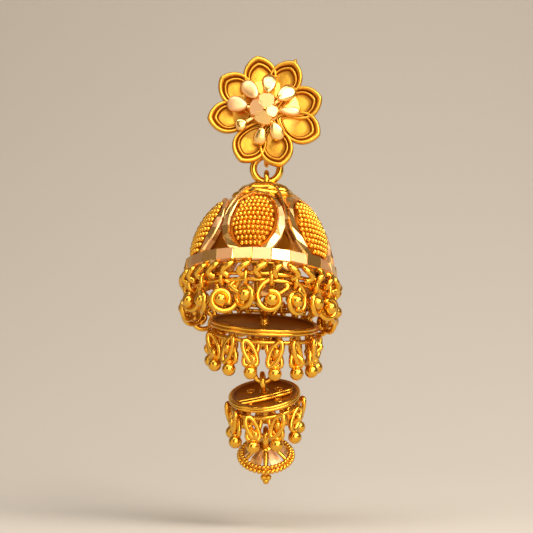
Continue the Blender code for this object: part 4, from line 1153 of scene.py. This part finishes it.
FINIAL_RING = cap_low_eye - SMALL_EYE_RADIUS * Z_WAY
CLUSTER_RADIUS = 0.42
CLUSTER_SPREAD = 0.32
CLUSTER_DROP = 0.45
SHANK_WIRE = 0.28
SHANK_LENGTH = 0.6
finial_low = -SMALL_EYE_RADIUS - SHANK_LENGTH
finial_ring = wires(
    round_loop(FINIAL_RING, X_WAY, Z_WAY, SMALL_EYE_RADIUS, SMALL_EYE_RADIUS)[None], LINK_WIRE,
    Y_WAY[None], closed=True,
)
shank_path = FINIAL_RING + np.linspace(-SMALL_EYE_RADIUS, finial_low, 6)[:, None] * Z_WAY
shank = wires(shank_path[None], SHANK_WIRE, Y_WAY[None])
cluster_turn = np.radians(90 + 120 * np.arange(3))
cluster = np.stack(
    [
        CLUSTER_SPREAD * np.cos(cluster_turn),
        CLUSTER_SPREAD * np.sin(cluster_turn),
        np.full(3, finial_low),
    ],
    axis=-1,
)
cluster = FINIAL_RING + np.concatenate([cluster, [[0, 0, finial_low - CLUSTER_DROP]]])
add_piece(
    "finial_granules", [finial_ring, shank, round_balls(cluster, CLUSTER_RADIUS)], "drawn_wire_gold",
    "drop", "finial",
)


# Floor
# A plain pale sweep of matt card, flat under the earring and curved up behind it. It is stage, and no part
# of the earring.

FLOOR_LEVEL = -52.0
BEND_RADIUS = 330.0
bend = np.linspace(0, np.pi / 2, 14)
sweep = np.concatenate(
    [
        np.stack([np.linspace(-700, 20, 20), np.full(20, FLOOR_LEVEL)], axis=-1),
        np.stack(
            [40 + BEND_RADIUS * np.sin(bend), FLOOR_LEVEL + BEND_RADIUS * (1 - np.cos(bend))], axis=-1
        ),
        np.stack([np.full(6, 40 + BEND_RADIUS), np.linspace(300, 800, 6)], axis=-1),
    ]
)
sweep_points = np.stack(
    [
        np.repeat([[-900.0], [900.0]], len(sweep), axis=1),
        np.repeat(sweep[None, :, 0], 2, axis=0),
        np.repeat(sweep[None, :, 1], 2, axis=0),
    ],
    axis=-1,
)
steps = np.arange(len(sweep) - 1)
sweep_faces = np.stack([steps, steps + len(sweep), steps + len(sweep) + 1, steps + 1], axis=-1).tolist()
floor_mesh = bpy.data.meshes.new("floor")
floor_mesh.from_pydata((sweep_points.reshape(-1, 3) / 1000).tolist(), [], sweep_faces)
floor_mesh.shade_smooth()
# Matt card: an even pale grey with no shine
matt_card = bpy.data.materials.new("matt_card")
matt_card.use_nodes = True
card_shader = matt_card.node_tree.nodes["Principled BSDF"]
card_shader.inputs["Base Color"].default_value = linear("#D6D0C6")
card_shader.inputs["Roughness"].default_value = 0.8
floor_mesh.materials.append(matt_card)
floor = bpy.data.objects.new("floor", floor_mesh)
bpy.context.collection.objects.link(floor)


# Light and camera
# Soft boxes from the upper right, from above and from the front, a weaker one from the left, and dim warm
# surroundings, so that polished gold shows bright flats beside deep warm ones.


def aim(thing, place, target):
    """Put a light or camera at a place in mm and turn its -Z towards the target."""
    ahead = np.subtract(target, place) / np.linalg.norm(np.subtract(target, place))
    right = np.cross(ahead, Z_WAY)
    right /= np.linalg.norm(right)
    upward = np.cross(right, ahead)
    matrix = np.eye(4)
    matrix[:3, :3] = np.stack([right, upward, -ahead], axis=1)
    matrix[:3, 3] = np.divide(place, 1000)
    thing.matrix_world = Matrix(matrix.tolist())


def add_light(name, place, size, power, colour):
    """A rectangular soft box, aimed at the middle of the earring."""
    lamp = bpy.data.lights.new(name, "AREA")
    lamp.shape = "RECTANGLE"
    lamp.size, lamp.size_y = size
    lamp.energy = power
    lamp.color = linear(colour)[:3]
    thing = bpy.data.objects.new(name, lamp)
    bpy.context.collection.objects.link(thing)
    aim(thing, place, (0, 0, -22))


add_light("key", (210, -210, 190), (0.2, 0.2), 1.15, "#FFF8EE")
add_light("fill", (-260, -160, 20), (0.14, 0.34), 0.16, "#FFE9CC")
add_light("top", (-40, -170, 280), (0.3, 0.16), 0.6, "#FFFFFF")
add_light("front", (110, -400, 70), (0.3, 0.26), 0.95, "#FFFAF4")

world = bpy.data.worlds.new("studio")
world.use_nodes = True
world.node_tree.nodes["Background"].inputs["Color"].default_value = linear("#C0A78A")
world.node_tree.nodes["Background"].inputs["Strength"].default_value = 0.4
bpy.context.scene.world = world

camera = bpy.data.objects.new("camera", bpy.data.cameras.new("camera"))
camera.data.lens = 76.0
camera.data.sensor_width = 36.0
camera.data.clip_start = 0.01
bpy.context.collection.objects.link(camera)
aim(camera, (2.0, -140.0, -36.0), (0.0, 0.0, -19.5))
bpy.context.scene.camera = camera
bpy.context.scene.view_settings.view_transform = "Standard"
